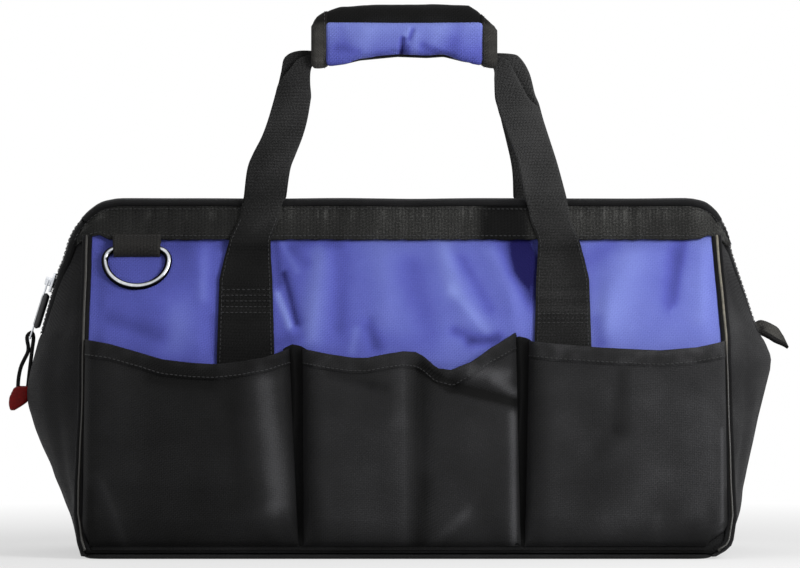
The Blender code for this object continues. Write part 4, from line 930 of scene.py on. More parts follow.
# pockets: rim line, edges at the base and at the rim, folds (all in millimetres)
# each pocket has a painted shade level, darkest on the left pocket, and a table of painted light and shade
# drawn over its cloth
pocketFacts = {
    "left": {"base": (-224.0, -73.5), "top": (-224.0, -80.5), "seam": None, "paintedTone": -0.75,
             "paintedShading": ((-97.1, 120.5, -87.2, 39.9, 10, 1.3, 11), (-175.2, 132.4, -140.0, 125.4, 5, -0.3),
                       (-199.8, 129.6, -185.8, 126.8, 5, 0.12), (-209.7, 52.5, -192.1, 8.4, 2, 0.45, 6),
                       (-219.5, 46.9, -216.0, 8.4, 2.5, -0.5), (-225.2, 39.9, -223.7, 11.9, 2, 0.4),
                       (-92.9, 32.9, -83.7, 8.4, 8, 0.25)),
             "rim": ((-224, 150.6), (-206.9, 147.8), (-183.6, 141.4), (-169.6, 137.2), (-150, 134.8),
                     (-131.6, 133.8), (-114, 135.2), (-98, 138.0), (-90.1, 140.8), (-80.9, 144.3)),
             "folds": ((-213, 54.6, -190.7, 9.1, 5, 2.0), (-178, 126, -137, 121, 6, -3.5),
                       (-100, 122, -97, 30, 15, 2.2), (-205, 132, -200, 60, 12, 1.0),
                       (-150, 90, -146, 20, 16, -1.6), (-124, 120, -118, 60, 6, -1.2),
                       (-84, 132, -80, 20, 4, 1.2))},
    "middle": {"base": (-70.0, 81.0), "top": (-71.5, 78.5), "seam": 7.2, "paintedTone": -0.25,
               "paintedShading": ((-20.4, 82.0, -23.9, 25.9, 22, 0.3), (0.7, 127.5, -2.8, 96.0, 7, 0.35),
                         (7.7, 127.5, 7.7, 8.4, 14, -0.35, 1.5), (4.9, 127.5, 4.9, 8.4, 1.2, 0.25, 12),
                         (-66.1, 124.0, -62.6, 11.9, 6, -0.35), (-48.5, 129.6, -13.4, 118.4, 4, -0.3),
                         (14.8, 53.9, 11.3, 11.9, 6, -0.35), (9.9, 1.4, 45.0, 34.3, 4, 0.35),
                         (57.0, 36.4, 67.5, 8.4, 8, -0.2), (76.7, 99.5, 76.7, 4.9, 1.8, 1, 4),
                         (46.4, 129.6, 71.1, 127.5, 5, 0.8), (64.0, 124.0, 77.4, 114.2, 4, 0.9),
                         (14.8, 129.6, 32.4, 119.1, 3.2, -1.3), (32.4, 119.1, 79.5, 107.9, 3, -1.6)),
               "rim": ((-71.8, 144.3), (-55, 141.0), (-36.6, 138.2), (-26, 138.0), (-12, 140.8),
                       (0.7, 142.8), (9.0, 141.8), (14.5, 138.4), (22.5, 131.4), (33.1, 129.3),
                       (46.4, 134.2), (60.5, 145.0), (77.4, 155.2)),
               "folds": ((-54.9, 127.5, -23.9, 118.4, 2.6, -1.4), (-23.9, 118.4, -12.7, 116.6, 2.4, -1.2),
                         (6.3, 133.3, 21.1, 126.9, 4, -2.6), (21.1, 126.9, 35.2, 121.3, 4.5, -3.4),
                         (35.2, 121.3, 79.5, 107.9, 5, -3.0), (38, 134, 72, 126, 7, 2.6),
                         (14, 9, 40.8, 28, 4, 2.0), (-12.7, 126.8, -58.4, 83.4, 13, 1.6),
                         (-60, 60, -52, 12, 9, 1.2), (77, 100, 77, 15, 3, 1.4),
                         (-30, 70, -20, 12, 14, -1.4), (48, 90, 44, 34, 12, 1.2))},
    "right": {"base": (83.7, 225.0), "top": (87.5, 225.0), "seam": None, "paintedTone": -0.12,
              "paintedShading": ((152.0, 128.2, 148.5, 89.0, 5, -0.5, 3.5), (148.5, 89.0, 137.9, 75.0, 7, -0.3),
                        (201.2, 127.5, 201.2, 60.9, 30, 0.4), (173.1, 60.9, 137.9, 25.9, 14, 0.15),
                        (92.2, 131.0, 93.6, 11.9, 7, -0.3), (109.8, 96.0, 123.8, 82.0, 8, 0.15),
                        (221.6, 89.0, 220.9, 11.9, 1.2, 0.6), (224.4, 46.9, 224.4, 11.9, 1.5, -0.7),
                        (176.6, 29.4, 176.6, 4.9, 3, 0.2), (201.2, 18.9, 211.8, 8.4, 6, -0.25)),
              "rim": ((82.3, 150.2), (110, 147.4), (140, 145.0), (179.4, 143.2), (205, 145.6),
                      (225.9, 149.9)),
              "folds": ((219.5, 33, 219.5, 8.4, 4, 1.6), (212, 36, 212, 10, 4, -1.6),
                        (100, 120, 103, 30, 10, 1.2), (150, 112, 158, 20, 18, 1.6),
                        (192, 120, 188, 40, 12, -1.4), (128, 100, 124, 24, 10, -1.2),
                        (208, 118, 214, 60, 6, 1.0))},
}
pocketShape = {"depth": 0.017, "furthest": 0.0215, "columns": 92, "thick": 0.0013, "hemThick": 0.0006,
               "hemShare": 0.918}


def pocketPoint(side, name, s, v, extra=0.0):
    # s from -1 to 1 across the pocket, v from 0 at its base to 1 at its rim
    facts = pocketFacts[name]
    s, v = np.broadcast_arrays(np.asarray(s, float), np.asarray(v, float))
    # the foot of a pocket is drawn in beside the corner of the bag
    tuck = (1 - smooth(v / 0.13)) ** 2
    low = (mix(facts["base"][0], facts["top"][0], v) + 5 * tuck * (name == "left")) * mm
    high = (mix(facts["base"][1], facts["top"][1], v) - 15 * tuck * (name == "right")) * mm
    x = mix(low, high, (s + 1) / 2)
    rimZ = table(facts["rim"], x / mm) * mm
    rise = np.interp(v, (0, 0.035, 0.1, 0.3, 0.7, 1), (0, 0.42, 0.78, 1.0, 1.0, 0.93))
    across = (1 - np.abs(s) ** 16) ** 0.5
    if facts["seam"] is not None:
        gap = x / mm - facts["seam"]
        across = across * (1 - (0.30 + 0.32 * v ** 3) * np.exp(-(gap / mix(5.0, 8.0, v)) ** 2))
    out = onSkin + 0.001 + pocketShape["depth"] * rise * across
    up = mix(0.0035, upAt(rimZ, out), v)
    z = bag["hingeHeight"] + up * leanCos + out * leanSin
    folds = foldField(x / mm, z / mm, facts["folds"])
    flat = np.stack([x, x * 0, z], -1)
    lumps = softNoise(flat, 0.035, 12 + side + len(name)) * 0.9
    lumps = lumps + softNoise(flat, 0.012, 30 + side + len(name)) * 0.22
    hold = across ** 2 * smooth(v / 0.12)
    out = out + (folds * 0.8 + lumps) * hold * mm
    out = np.minimum(np.maximum(out, onSkin + 0.0008), pocketShape["furthest"]) + extra
    return onWall(side, x, up, out), folds * hold


def paintedPocketShade(name, grid):
    # the pocket's painted shade level with its painted light and shade, at each place
    facts = pocketFacts[name]
    return facts["paintedTone"] + foldField(grid[..., 0] / mm, grid[..., 2] / mm, facts["paintedShading"])


def makePocket(label, side, name):
    s = np.sin(np.linspace(-1, 1, pocketShape["columns"]) * math.pi / 2)
    s = np.sign(s) * np.abs(s) ** 0.7
    v = np.concatenate([[0, 0.02, 0.04, 0.07], np.linspace(0.1, 1, 46)])
    grid, folds = pocketPoint(side, name, s[None, :], v[:, None])
    # painted light and shade from the table and the folds, and painted shade at the pocket's foot
    shade = paintedPocketShade(name, grid) + np.clip(folds * 0.06, -0.3, 0.3)
    shade = shade - 0.25 * smooth((0.06 - v[:, None]) / 0.06)
    pocket = sheetPiece(f"{label}_patch_{name}", grid, blackCloth, thick=pocketShape["thick"], flip=side > 0,
                        marks={"foldAndPaintedShade": shade})
    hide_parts(f"{label}_pocket_{name}")
    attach(pocket, label + "_wall")

    def along(v, extra):
        return pocketPoint(side, name, s, np.full_like(s, v), extra)[0]

    # the hem: rim cloth folded over to the inside and sewn down
    hemShare = pocketShape["hemShare"]
    rise = np.array([0, side * -leanSin, leanCos])
    rows = [along(share, 0.0005) for share in np.linspace(hemShare, 1, 7)]
    rows += [along(1.0, 0.0002) + rise * 0.0012, along(1.0, -0.0024) + rise * 0.0006]
    rows += [along(share, -0.0026) for share in (0.985, hemShare)]
    hemGrid = np.array(rows)
    # the pocket's painted shading carried on to the hem, random tone, painted light over the crest of the rim
    # and painted shade on its inside
    hemShade = paintedPocketShade(name, hemGrid) + 0.45 * softNoise(hemGrid, 0.008, 17)
    hemShade = hemShade + np.array([-0.05] * 5 + [0.1] * 3 + [0.0] + [-0.3] * 2)[:, None]
    hem = sheetPiece(f"{label}_rim_{name}", hemGrid, blackCloth, thick=pocketShape["hemThick"], flip=side > 0,
                     marks={"foldAndPaintedShade": hemShade})
    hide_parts(f"{label}_hem_{name}")
    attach(hem, label + "_wall")
    line = pocketPoint(side, name, s[3:-3], np.full_like(s[3:-3], hemShare + 0.012), 0.0013)[0]
    addStitches(label + "_wall", line)
    if pocketFacts[name]["seam"] is not None:
        low, high = pocketFacts[name]["base"]
        centre = 2 * (pocketFacts[name]["seam"] - low) / (high - low) - 1
        heights = np.linspace(0.05, 0.9, 40)
        addStitches(label + "_wall", pocketPoint(side, name, np.full(40, centre), heights, 0.0004)[0])


# each gap between two pockets: its two sides, its top, and how far its foot leans over
pleats = {"left": (-0.0850, -0.0690, 0.1470, 0.0015), "right": (0.0745, 0.0895, 0.1525, -0.0015)}


def makePleats(label, side):
    # the pocket cloth goes down to the wall between two pockets
    for name, (low, high, rim, lean) in pleats.items():
        share = np.linspace(-1, 1, 13)[None, :]
        ups = np.linspace(0, 1, 40)[:, None] * (upAt(rim, 0.004) - 0.004 - 0.003 * share ** 2) + 0.004
        xs = mix(low, high, (share + 1) / 2) + lean * (1 - ups / 0.15)
        foldAndPaintedShade = 0.0030 * np.exp(-((share + 0.25 + 0.3 * np.sin(ups * 40)) / 0.22) ** 2)
        grid = onWall(side, xs, ups, mix(0.0030, 0.0062, smooth(ups / 0.05)) + foldAndPaintedShade * 0.6)
        # made of the blackest cloth and painted darker still, as painted shade in the gap, a little lighter
        # on its fold
        piece = sheetPiece(f"{label}_pleat_{name}", grid, tapeCloth, thick=0.0010, flip=side > 0,
                           marks={"foldAndPaintedShade": foldAndPaintedShade / 0.02 - 1.0})
        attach(piece, label + "_wall")


trimFacts = {"pipingRadius": 0.0011, "pipingOut": 0.0027, "tapeHalf": 0.0035, "tapeOut": 0.0024,
             "tapeCrown": 0.0012, "tapeThick": 0.0014}


def makeSideTrim(label, side, end):
    # a vinyl piping down the middle of the folded black tape that binds the side seam
    sign = ends[end]
    z = np.concatenate([np.linspace(0.0050, 0.030, 16), np.linspace(0.034, 0.2235, 50)])
    x = table(seamReach[end], z) + 0.0004
    y = bag["halfDepth"] - upAt(z, 0.0) * leanSin
    line = np.stack([sign * x, side * y, z], -1)
    line = line + 0.0006 * np.stack([softNoise(line, 0.03, 6), z * 0, z * 0], -1)
    raised = line + np.array([0, side * leanCos, leanSin]) * trimFacts["pipingOut"]
    # painted dark as a painted reflection of the dark cloth, all the way up on the left, and below the blue
    # cloth on the right
    paintedDarkReflection = np.full(len(z), 0.85) if end == "left" else 0.9 * smooth((0.152 - z) / 0.012)
    piping = tubePiece(f"{label}_seam_piping_{end}", raised, trimFacts["pipingRadius"], pipingVinyl, paintedDarkReflection=paintedDarkReflection)
    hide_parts(f"{label}_piping_{end}")
    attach(piping, label + "_wall")
    rows = []
    for k in np.linspace(-1, 1, 17):
        out = trimFacts["tapeOut"] + trimFacts["tapeCrown"] * abs(math.sin(math.pi * k)) ** 0.6
        rows.append(line + np.array([-sign * (0.0004 + trimFacts["tapeHalf"] * k), side * out * leanCos,
                                     out * leanSin]))
    grid = np.array(rows).transpose(1, 0, 2)
    trim = sheetPiece(f"{label}_seam_binding_{end}", grid, tapeCloth, thick=trimFacts["tapeThick"],
                      flip=(side * sign) < 0, marks={"foldAndPaintedShade": 0.0}, even=False)
    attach(trim, label + "_wall")


def pressedIn(end, y, z):
    # the left end lies straight under the sliding pull, so that the slider and its tab clear it
    straight = zipLow.x + (zipLow.z - z) * (zipLow.x - zipHigh.x) / (zipHigh.z - zipLow.z)
    bulge = np.maximum(table(endReach[end], z) - straight, 0)
    nearMiddle = np.exp(-(np.abs(y) / pull["pressHalf"]) ** 4)
    return bulge * nearMiddle * smooth((z - 0.120) / 0.015) * (end == "left")


# tone is the painted shade level of each end: darker on the left, lighter on the right
gussetFacts = {"thick": 0.0018, "columns": 26, "zipHalf": 0.0168, "paintedTone": {"left": -0.2, "right": 0.12}}


def makeGusset(end, label, side):
    sign = ends[end]
    corner = bag["cornerRadius"]
    heights = np.concatenate([[0.0033], np.linspace(0.0034, 0.150, 44), np.linspace(0.1535, 0.2352, 28)])
    rows = []
    for z in heights:
        wallY = wallInsideY(z)
        # above the foot of the zip the two halves part round it
        inner = gussetFacts["zipHalf"] * smooth((z - 0.150) / 0.006) if z >= 0.152 else 0.0
        across = np.linspace(min(inner, wallY * 0.96) / wallY, 0.995, gussetFacts["columns"])
        row = endPoint(end, np.full_like(across, z), side * across)
        # near the top the edge follows the rounded corner of the wall, under the band
        drop = min(max((wallLength - upAt(z, 0.0)) / corner, 0), 1)
        edge = bag["halfWidth"] - corner * (1 - math.sqrt(1 - (1 - drop) ** 2))
        inset = max(table(seamReach[end], z) - edge, 0)
        row[:, 0] -= sign * inset * across ** 4
        seam = table(seamReach[end], z) - inset
        tuck = smooth((z - 0.227) / 0.004)
        outerY = bag["halfDepth"] - upAt(z, 0.0) * leanSin
        tail = [(sign * (seam + mix(0.0016, -0.0008, tuck)), side * mix(wallY, outerY, 0.55 - 0.2 * tuck), z),
                (sign * (seam + mix(0.0004, -0.0014, tuck)), side * mix(outerY, wallY, 0.4 * tuck), z)]
        rows.append(np.concatenate([row, tail]))
    grid = np.array(rows)
    tall = heights[:, None]
    ripple = softNoise(grid, 0.045, 14 + side) * 0.0022 + softNoise(grid, 0.016, 16 + side) * 0.0005
    column = np.arange(grid.shape[1])[None, :]
    hold = smooth((27 - column) / 5) * smooth(column / 5) * smooth((tall - 0.003) / 0.02)
    fall = -0.0022 * np.exp(-((column - 19) / 2.5) ** 2) * np.exp(-((tall - 0.10) / 0.07) ** 2)
    grid[..., 0] += sign * ((ripple + fall) * hold - pressedIn(end, grid[..., 1], grid[..., 2]))
    # the first row is turned in on to the base as a seam allowance
    grid[0, :, 0] -= sign * (0.0008 + 0.0080 * smooth((26 - column[0]) / 4))
    # painted shade level of the end, painted light on its outward ripples and painted shade along its tail by
    # the seam
    shade = gussetFacts["paintedTone"][end] + ripple * hold / 0.006 - 0.3 * smooth((column - 24) / 2)
    piece = sheetPiece(f"{label}_gusset_{end}", grid, gussetCloth, thick=gussetFacts["thick"],
                       flip=(side * sign) > 0, marks={"foldAndPaintedShade": shade})
    names = [f"{label}_flap_{end}"] + ([f"end_gusset_{end}"] if label == "front" else [])
    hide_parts(*names)
    blendEnd(piece, label, side, end)
    lines = [grid[3:-4, 24] + np.array([sign * 0.0004, 0, 0])]
    stitched = beadPiece(f"{label}_gusset_stitches_{end}", lines, sewingThread, stitchSizes, (0, 0, 1))
    blendEnd(stitched, label, side, end)


stitchSizes = (0.0032, 0.0024, 0.0008, 0.0006)  # pitch, length, width and thickness of a stitch
toothSizes = (0.0019, 0.0013, 0.0030, 0.0022)  # the same of a turn of the zip's coil
# the zip tape's section: distance from the middle, and how far it has turned down there
tapeAcross = (0.0021, 0.0050, 0.0085, 0.0120, 0.0150, 0.0175, 0.0196, 0.0204)
tapeDrop = (0.0, 0.0001, 0.0002, 0.0004, 0.0008, 0.0014, 0.0030, 0.0046)
# painted light and shade across the tape's section: lighter by the teeth, darker where it turns down
tapeShade = (0.3, 0.0, -0.1, 0.0, 0.15, 0.0, -0.1, -0.2)
zipFacts = {"tapeOut": 0.0012, "thick": 0.0009, "toothOut": 0.0007, "toothSide": 0.0014, "seamOut": 0.0011,
            "seamSide": 0.0150}


def blendEnd(piece, label, side, end):
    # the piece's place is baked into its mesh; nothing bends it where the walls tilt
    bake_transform(piece)


def blendZip(piece, label, end):
    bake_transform(piece)


def zipPath(end, low, high, count):
    # line of the zip up one end of the bag, with its outward direction
    z, x = np.array(endReach[end]).T
    keep = z > 0.14
    places = frontCurve(zip(x[keep], z[keep]), 160)
    places = places[(places[:, 2] >= low - 1e-6) & (places[:, 2] <= high + 1e-6)]
    run = np.concatenate([[0], np.cumsum(np.linalg.norm(np.diff(places, axis=0), axis=-1))])
    even = np.linspace(0, run[-1], count)
    places = np.stack([np.interp(even, run, places[:, k]) for k in range(3)], -1)
    along = directions(places)
    out = np.stack([along[:, 2], along[:, 1] * 0, -along[:, 0]], -1)
    places[:, 0] *= ends[end]
    out[:, 0] *= ends[end]
    return places, out


def zipSheet(name, places, out, side, sign, spread, end=None):
    # tape from the teeth outwards, with its far edge turned down on to the band
    deeper = 1.4 if end else 1.0
    grid = np.stack([places + out * (zipFacts["tapeOut"] - deeper * drop) + np.array([0, side * across, 0])
                     for across, drop in zip(tapeAcross, tapeDrop)], 1)
    grid[:, :, 1] += side * np.asarray(spread)[:, None] * np.linspace(1, 0, len(tapeAcross))[None, :]
    if end:
        grid[..., 0] -= ends[end] * pressedIn(end, grid[..., 1], grid[..., 2])
    return sheetPiece(name, grid, tapeCloth, thick=zipFacts["thick"], flip=(side * sign) > 0,
                      marks={"foldAndPaintedShade": np.array(tapeShade)[None, :]})


def makeZip(label, side):
    wall = label + "_wall"
    left, leftOut = zipPath("left", 0.235, 0.2486, 20)
    right, rightOut = zipPath("right", 0.235, 0.2486, 20)
    middle = np.stack([np.linspace(-0.199, 0.199, 60), np.zeros(60), np.full(60, 0.2487)], -1)
    middle[:, 2] += np.minimum(0.0006 * softNoise(middle, 0.05, 3), 0.0003)
    up = np.tile([0.0, 0.0, 1.0], (60, 1))
    places = np.concatenate([left, middle, right[::-1]])
    out = np.concatenate([leftOut, up, rightOut[::-1]])
    tape = zipSheet(label + "_ridge_tape", places, out, side, -1, np.zeros(len(places)))
    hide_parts(label + "_zip_tape")
    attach(tape, wall)
    line = places + out * zipFacts["toothOut"] + np.array([0, side * zipFacts["toothSide"], 0])
    teeth = beadPiece(label + "_ridge_teeth", [line], coilNylon, toothSizes, wobble=0.0)
    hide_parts(label + "_zip_teeth")
    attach(teeth, wall)
    addStitches(wall, places + out * zipFacts["seamOut"] + np.array([0, side * zipFacts["seamSide"], 0]))
    for end, sign in ends.items():
        places, out = zipPath(end, 0.154, 0.2352, 40)
        split = 0.0016 * smooth((0.186 - places[:, 2]) / 0.012) * (end == "left")
        strip = zipSheet(f"{label}_end_tape_{end}", places, out, side, -sign, split, end)
        if label == "front":
            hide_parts(f"zip_end_{end}")
        blendZip(strip, label, end)
        line = places + out * zipFacts["toothOut"]
        line[:, 1] += side * (zipFacts["toothSide"] + split)
        line[:, 0] -= sign * pressedIn(end, line[:, 1], line[:, 2])
        coil = beadPiece(f"{label}_end_teeth_{end}", [line], coilNylon, toothSizes, wobble=0.0)
        blendZip(coil, label, end)
        seam = places + out * zipFacts["seamOut"] + np.array([0, side * zipFacts["seamSide"], 0])
        thread = beadPiece(f"{label}_end_stitches_{end}", [seam], sewingThread, stitchSizes)
        blendZip(thread, label, end)


# a D-ring: half its width, its corners, its wire's radius, its tab, and where the bar sits on the wall
ringFacts = {"half": 0.0225, "corner": 0.008, "wire": 0.0025, "bow": 0.90, "layer": 0.0013, "play": 0.0003,
             "barDrop": 0.0350, "fromEdge": 0.0395, "tabHalf": (0.0164, 0.0172), "tabThick": 0.0012}


def makeRing(label, side):
    # a D-ring in a folded webbing tab: straight bar in the tab, bowed side hanging
    half, corner, wire = ringFacts["half"], ringFacts["corner"], ringFacts["wire"]
    layer, play = ringFacts["layer"], ringFacts["play"]
    barUp = wallLength - ringFacts["barDrop"]
    barOut = onSkin + layer + play + wire
    line = [(-half + corner + t * (half - corner) * 2, 0) for t in np.linspace(0, 1, 14)[:-1]]
    line += [(half - corner * (1 - math.sin(a)), -corner * (1 - math.cos(a)))
             for a in np.radians(np.arange(0, 90, 15))]
    line += [(half * math.cos(a), -corner - half * ringFacts["bow"] * math.sin(a))
             for a in np.radians(np.arange(0, 181, 6))]
    line += [(-half + corner * (1 - math.sin(a)), -corner * (1 - math.cos(a)))
             for a in np.radians(np.arange(90, 0, -15))]
    x, up = np.array(line).T
    centre = side * (bag["halfWidth"] - ringFacts["fromEdge"])
    # the wire is painted dark all round as a painted reflection, except a bright strip facing this way
    facing = (0.15, side * leanCos, leanSin)
    ring = tubePiece(label + "_d_ring_wire", onWall(side, centre + x, barUp + up, barOut), wire, chromedSteel,
                     sides=24, joined=True, facing=facing)
    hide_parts(label + "_ring")
    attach(ring, label + "_d_ring")
    # the tab comes out from under the band, goes round the bar and back up behind
    far = wire + play + layer
    path = [(bandBottom + 0.014, 0.0040), (bandBottom + 0.004, 0.0044)]
    path += [(barUp - far * math.sin(a), barOut - far * math.cos(a))
             for a in np.radians(np.arange(200, -1, -12))]
    path += [(bandBottom, 0.0022), (bandBottom + 0.014, 0.0022)]
    ups, outs = np.array(path).T
    width = np.linspace(-1, 1, 15)
    narrow = np.interp(ups, (barUp - far, bandBottom), ringFacts["tabHalf"])
    xs = centre + width[None, :] * narrow[:, None]
    sag = 0.0005 * softNoise(onWall(side, xs, ups[:, None], 0), 0.01, 7)
    grid = onWall(side, xs, ups[:, None], outs[:, None] + np.maximum(sag, 0))[::-1]
    shade = 0.25 * np.abs(width[None, :]) ** 6 - 0.15
    tab = sheetPiece(label + "_ring_loop", grid, tabWebbing, thick=ringFacts["tabThick"], flip=side < 0,
                     marks={"foldAndPaintedShade": shade})
    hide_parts(label + "_ring_tab")
    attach(tab, label + "_wall")


# hand grip: outline seen from the front, in millimetres
gripTop = ((-65.5, 373.4), (-61.6, 378.0), (-53, 383.8), (-45, 386.4), (-30, 387.4), (0, 388), (30, 388),
           (45.7, 387.6), (52.8, 383.0), (57, 377.4), (62.1, 372.5), (65.5, 370.6))
gripLow = ((-65.5, 344.0), (-55.6, 344.6), (-43, 345.4), (-31.7, 348.2), (-4.9, 350.8), (15.8, 350.0),
           (28, 350.8), (41.5, 347.4), (52.8, 345.8), (65.5, 343.8))
grip = {"halfLength": 0.0655, "coverHalf": 0.0645, "depth": 0.0095, "face": 0.0002, "binding": 0.0112,
        "seamIn": 0.0022, "points": 26}


def gripRing(x, grow, depth):
    # half of the wrap's section: flat on the middle plane, full on the outside
    top = table(gripTop, x / mm) * mm + grow
    low = table(gripLow, x / mm) * mm - grow
    middle, half = (top + low) / 2, (top - low) / 2
    ring = []
    for step in range(grip["points"]):
        angle = math.pi / 2 - math.pi * step / (grip["points"] - 1)
        c, s = max(math.cos(angle), 0.0), math.sin(angle)
        ring.append((grip["face"] + (depth + grow - grip["face"]) * c ** 0.55,
                     middle + half * math.copysign(abs(s) ** 0.8, s)))
    return ring


def loftPiece(name, sections, material, side, marks=None):
    # sections are rings of (y, z) at each x. The flat back closes every ring.
    grid = np.array([[(x, side * y, z) for y, z in ring] for x, ring in sections])
    piece = sheetPiece(name, grid, material, closed=True, marks=marks)
    closeEnds(piece, grid.shape[1], softEdge=False)
    return piece


def makeGrip(label, side):
    handle = label + "_handle"
    xs = np.linspace(-grip["coverHalf"], grip["coverHalf"], 70)
    rumple = lineNoise(xs, 0.014, 4, offset=side)
    sections, shades = [], []
    for x, bump in zip(xs, rumple):
        ring = gripRing(x, 0, grip["depth"] * (1 + 0.03 * bump))
        sections.append((x, [(y, z + 0.0006 * bump * (z > 0.37)) for y, z in ring]))
        # painted shade over the whole wrap, a darker painted shadow line along its upper front, and random
        # tone
        shades.append([0.2 * bump - 0.9 - 0.3 * math.exp(-(k - 7) ** 2 / 3.0) for k in range(len(ring))])
    wrap = loftPiece(label + "_grip_cover", sections, blackCloth, side, {"foldAndPaintedShade": np.array(shades)})
    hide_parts(label + "_grip_wrap", label + "_handle_webbing")
    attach(wrap, handle)
    start, stop = grip["halfLength"] - grip["binding"], grip["halfLength"]
    for end, sign in ends.items():
        # a taut rounded binding over each end, darker over the top
        sections, shades = [], []
        for x in np.linspace(start, stop + 0.0004, 12):
            share = (x - grip["halfLength"] + grip["binding"]) / grip["binding"]
            crown = math.sqrt(max(math.sin(math.pi * min(max(share, 0), 1)), 0.0))
            grow = 0.0004 + 0.0013 * crown - 0.0012 * smooth((share - 0.85) / 0.15)
            ring = gripRing(sign * x, grow, grip["depth"])
            sections.append((sign * x, ring))
            shades.append([0.12 * math.sin(k * 1.7 + share * 4) + 0.2 * crown - 0.1
                           - 1.1 * smooth((z - 0.3725) / 0.004) for k, (y, z) in enumerate(ring)])
        cap = loftPiece(f"{label}_grip_edging_{end}", sections, edgingTape, side, {"foldAndPaintedShade": np.array(shades)})
        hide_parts(f"{label}_grip_binding_{end}")
        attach(cap, handle)
        x = sign * (start + grip["seamIn"])
        addStitches(handle, [(x, side * y, z) for y, z in gripRing(x, 0.0016, grip["depth"])[2:-2]])


padFacts = {"half": 0.0560, "top": 0.3772, "trimTop": 0.0006, "trimLow": 0.0008, "middleY": 0.0080,
            "depth": 0.0040, "voxel": 0.0026, "swell": 0.0022, "pressure": 4.0, "frames": 20,
            "mostForward": 0.0144, "leastForward": 0.0030}
# the pinched seam in the middle of the pad and the slack folds beside it
padFolds = ((-0.6, 363.5, -3.4, 349, 1.8, -2.4), (2.6, 370, -5.6, 349, 1.8, 0.9),
            (6.0, 370, 3.8, 364, 1.6, -0.9), (1.6, 357, 1.0, 350, 2.2, -0.8), (9, 366, 7, 350, 3.5, 0.4),
            (13, 359, 24, 353, 2.6, -0.5), (-47, 357, -32, 354, 3.5, -0.5), (-45, 371, -42, 360, 4, -0.3),
            (38, 372, 33, 350, 5, -0.4), (-24, 372, -30, 352, 6, 0.4), (24, 371, 22, 362, 5, 0.4))


def applied(piece):
    # the piece with its modifiers applied, and where its points are
    piece.data = evaluated(piece)
    piece.modifiers.clear()
    return piece.data, np.array([v.co for v in piece.data.vertices])


def swollen(pad, start):
    # where air pressure inside the pad takes each of its points
    cloth = pad.modifiers.new("cloth", "CLOTH")
    cloth.settings.use_pressure = True
    cloth.settings.uniform_pressure_force = padFacts["pressure"]
    cloth.settings.effector_weights.gravity = 0
    cloth.settings.quality = 4
    for number in range(1, padFacts["frames"] + 1):
        bpy.context.scene.frame_set(number)
    result = pad.evaluated_get(bpy.context.evaluated_depsgraph_get())
    places = np.array([v.co for v in result.data.vertices])
    pad.modifiers.clear()
    bpy.context.scene.frame_set(1)
    return places


def makePad():
    # blue padded face of the grip: swollen with cloth and air pressure, then pinched in the middle
    sections = []
    for x in np.linspace(-padFacts["half"], padFacts["half"], 60):
        low = table(gripLow, x / mm) * mm - padFacts["trimLow"]
        top = padFacts["top"] - padFacts["trimTop"]
        middle, half = (top + low) / 2, (top - low) / 2
        sections.append((x, [(padFacts["middleY"] + out, middle + up)
                             for out, up in softRing(20, padFacts["depth"], 0.45, half, 0.5)]))
    pad = loftPiece("grip_pad_face", sections, blueCloth, -1)
    remesh = pad.modifiers.new("voxels", "REMESH")
    remesh.mode = "VOXEL"
    remesh.voxel_size = padFacts["voxel"]
    mesh, start = applied(pad)
    move = swollen(pad, start) - start
    reach = np.linalg.norm(move, axis=-1)
    most = padFacts["swell"]
    move *= np.where(reach > most, most / np.maximum(reach, 1e-9), 1.0)[:, None]
    mesh.vertices.foreach_set("co", (start + move).reshape(-1))
    finer = pad.modifiers.new("finer", "SUBSURF")
    finer.levels = finer.render_levels = 1
    mesh, places = applied(pad)
    front = smooth((-places[:, 1] - 0.006) / 0.004)
    x, z = places[:, 0] / mm, places[:, 2] / mm
    pinch = foldField(x, z, padFolds)
    places[:, 1] -= pinch * front * mm
    places[:, 1] = np.clip(places[:, 1], -padFacts["mostForward"], -padFacts["leastForward"])
    mesh.vertices.foreach_set("co", places.reshape(-1))
    # painted shade in the pinched folds, painted light growing towards the top, and painted shade along its
    # lower edge
    shade = pinch * 0.7 + mix(-0.15, 0.75, (z - 348) / 28) - 0.4 * smooth((348 - z) / 4)
    foldAndPaintedShade = mesh.attributes.new("foldAndPaintedShade", "FLOAT", "POINT")
    foldAndPaintedShade.data.foreach_set("value", np.clip(shade, -1.1, 0.8).astype(np.float32))
    layer = mesh.uv_layers.get("cloth") or mesh.uv_layers.new(name="cloth")
    corners = np.zeros(len(mesh.loops), np.int32)
    mesh.loops.foreach_get("vertex_index", corners)
    layer.data.foreach_set("uv", places[corners][:, [0, 2]].reshape(-1))
    mesh.polygons.foreach_set("use_smooth", [True] * len(mesh.polygons))
    mesh.materials.clear()
    mesh.materials.append(blueCloth)
    soften = pad.modifiers.new("soften", "SUBSURF")
    soften.levels = soften.render_levels = 1
    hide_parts("grip_pad")
    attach(pad, "front_handle")


baseFacts = {"proudX": 0.0022, "proudY": 0.0027, "corner": 0.012, "thick": 0.0030,
             "rolls": ((0.30, 0.0030), (0.06, 0.0030), (0.0020, 0.0030), (0.0006, 0.0026), (0.0, 0.0016),
                       (0.0005, 0.0005), (0.0018, 0.0), (0.06, 0.0), (0.30, 0.0))}


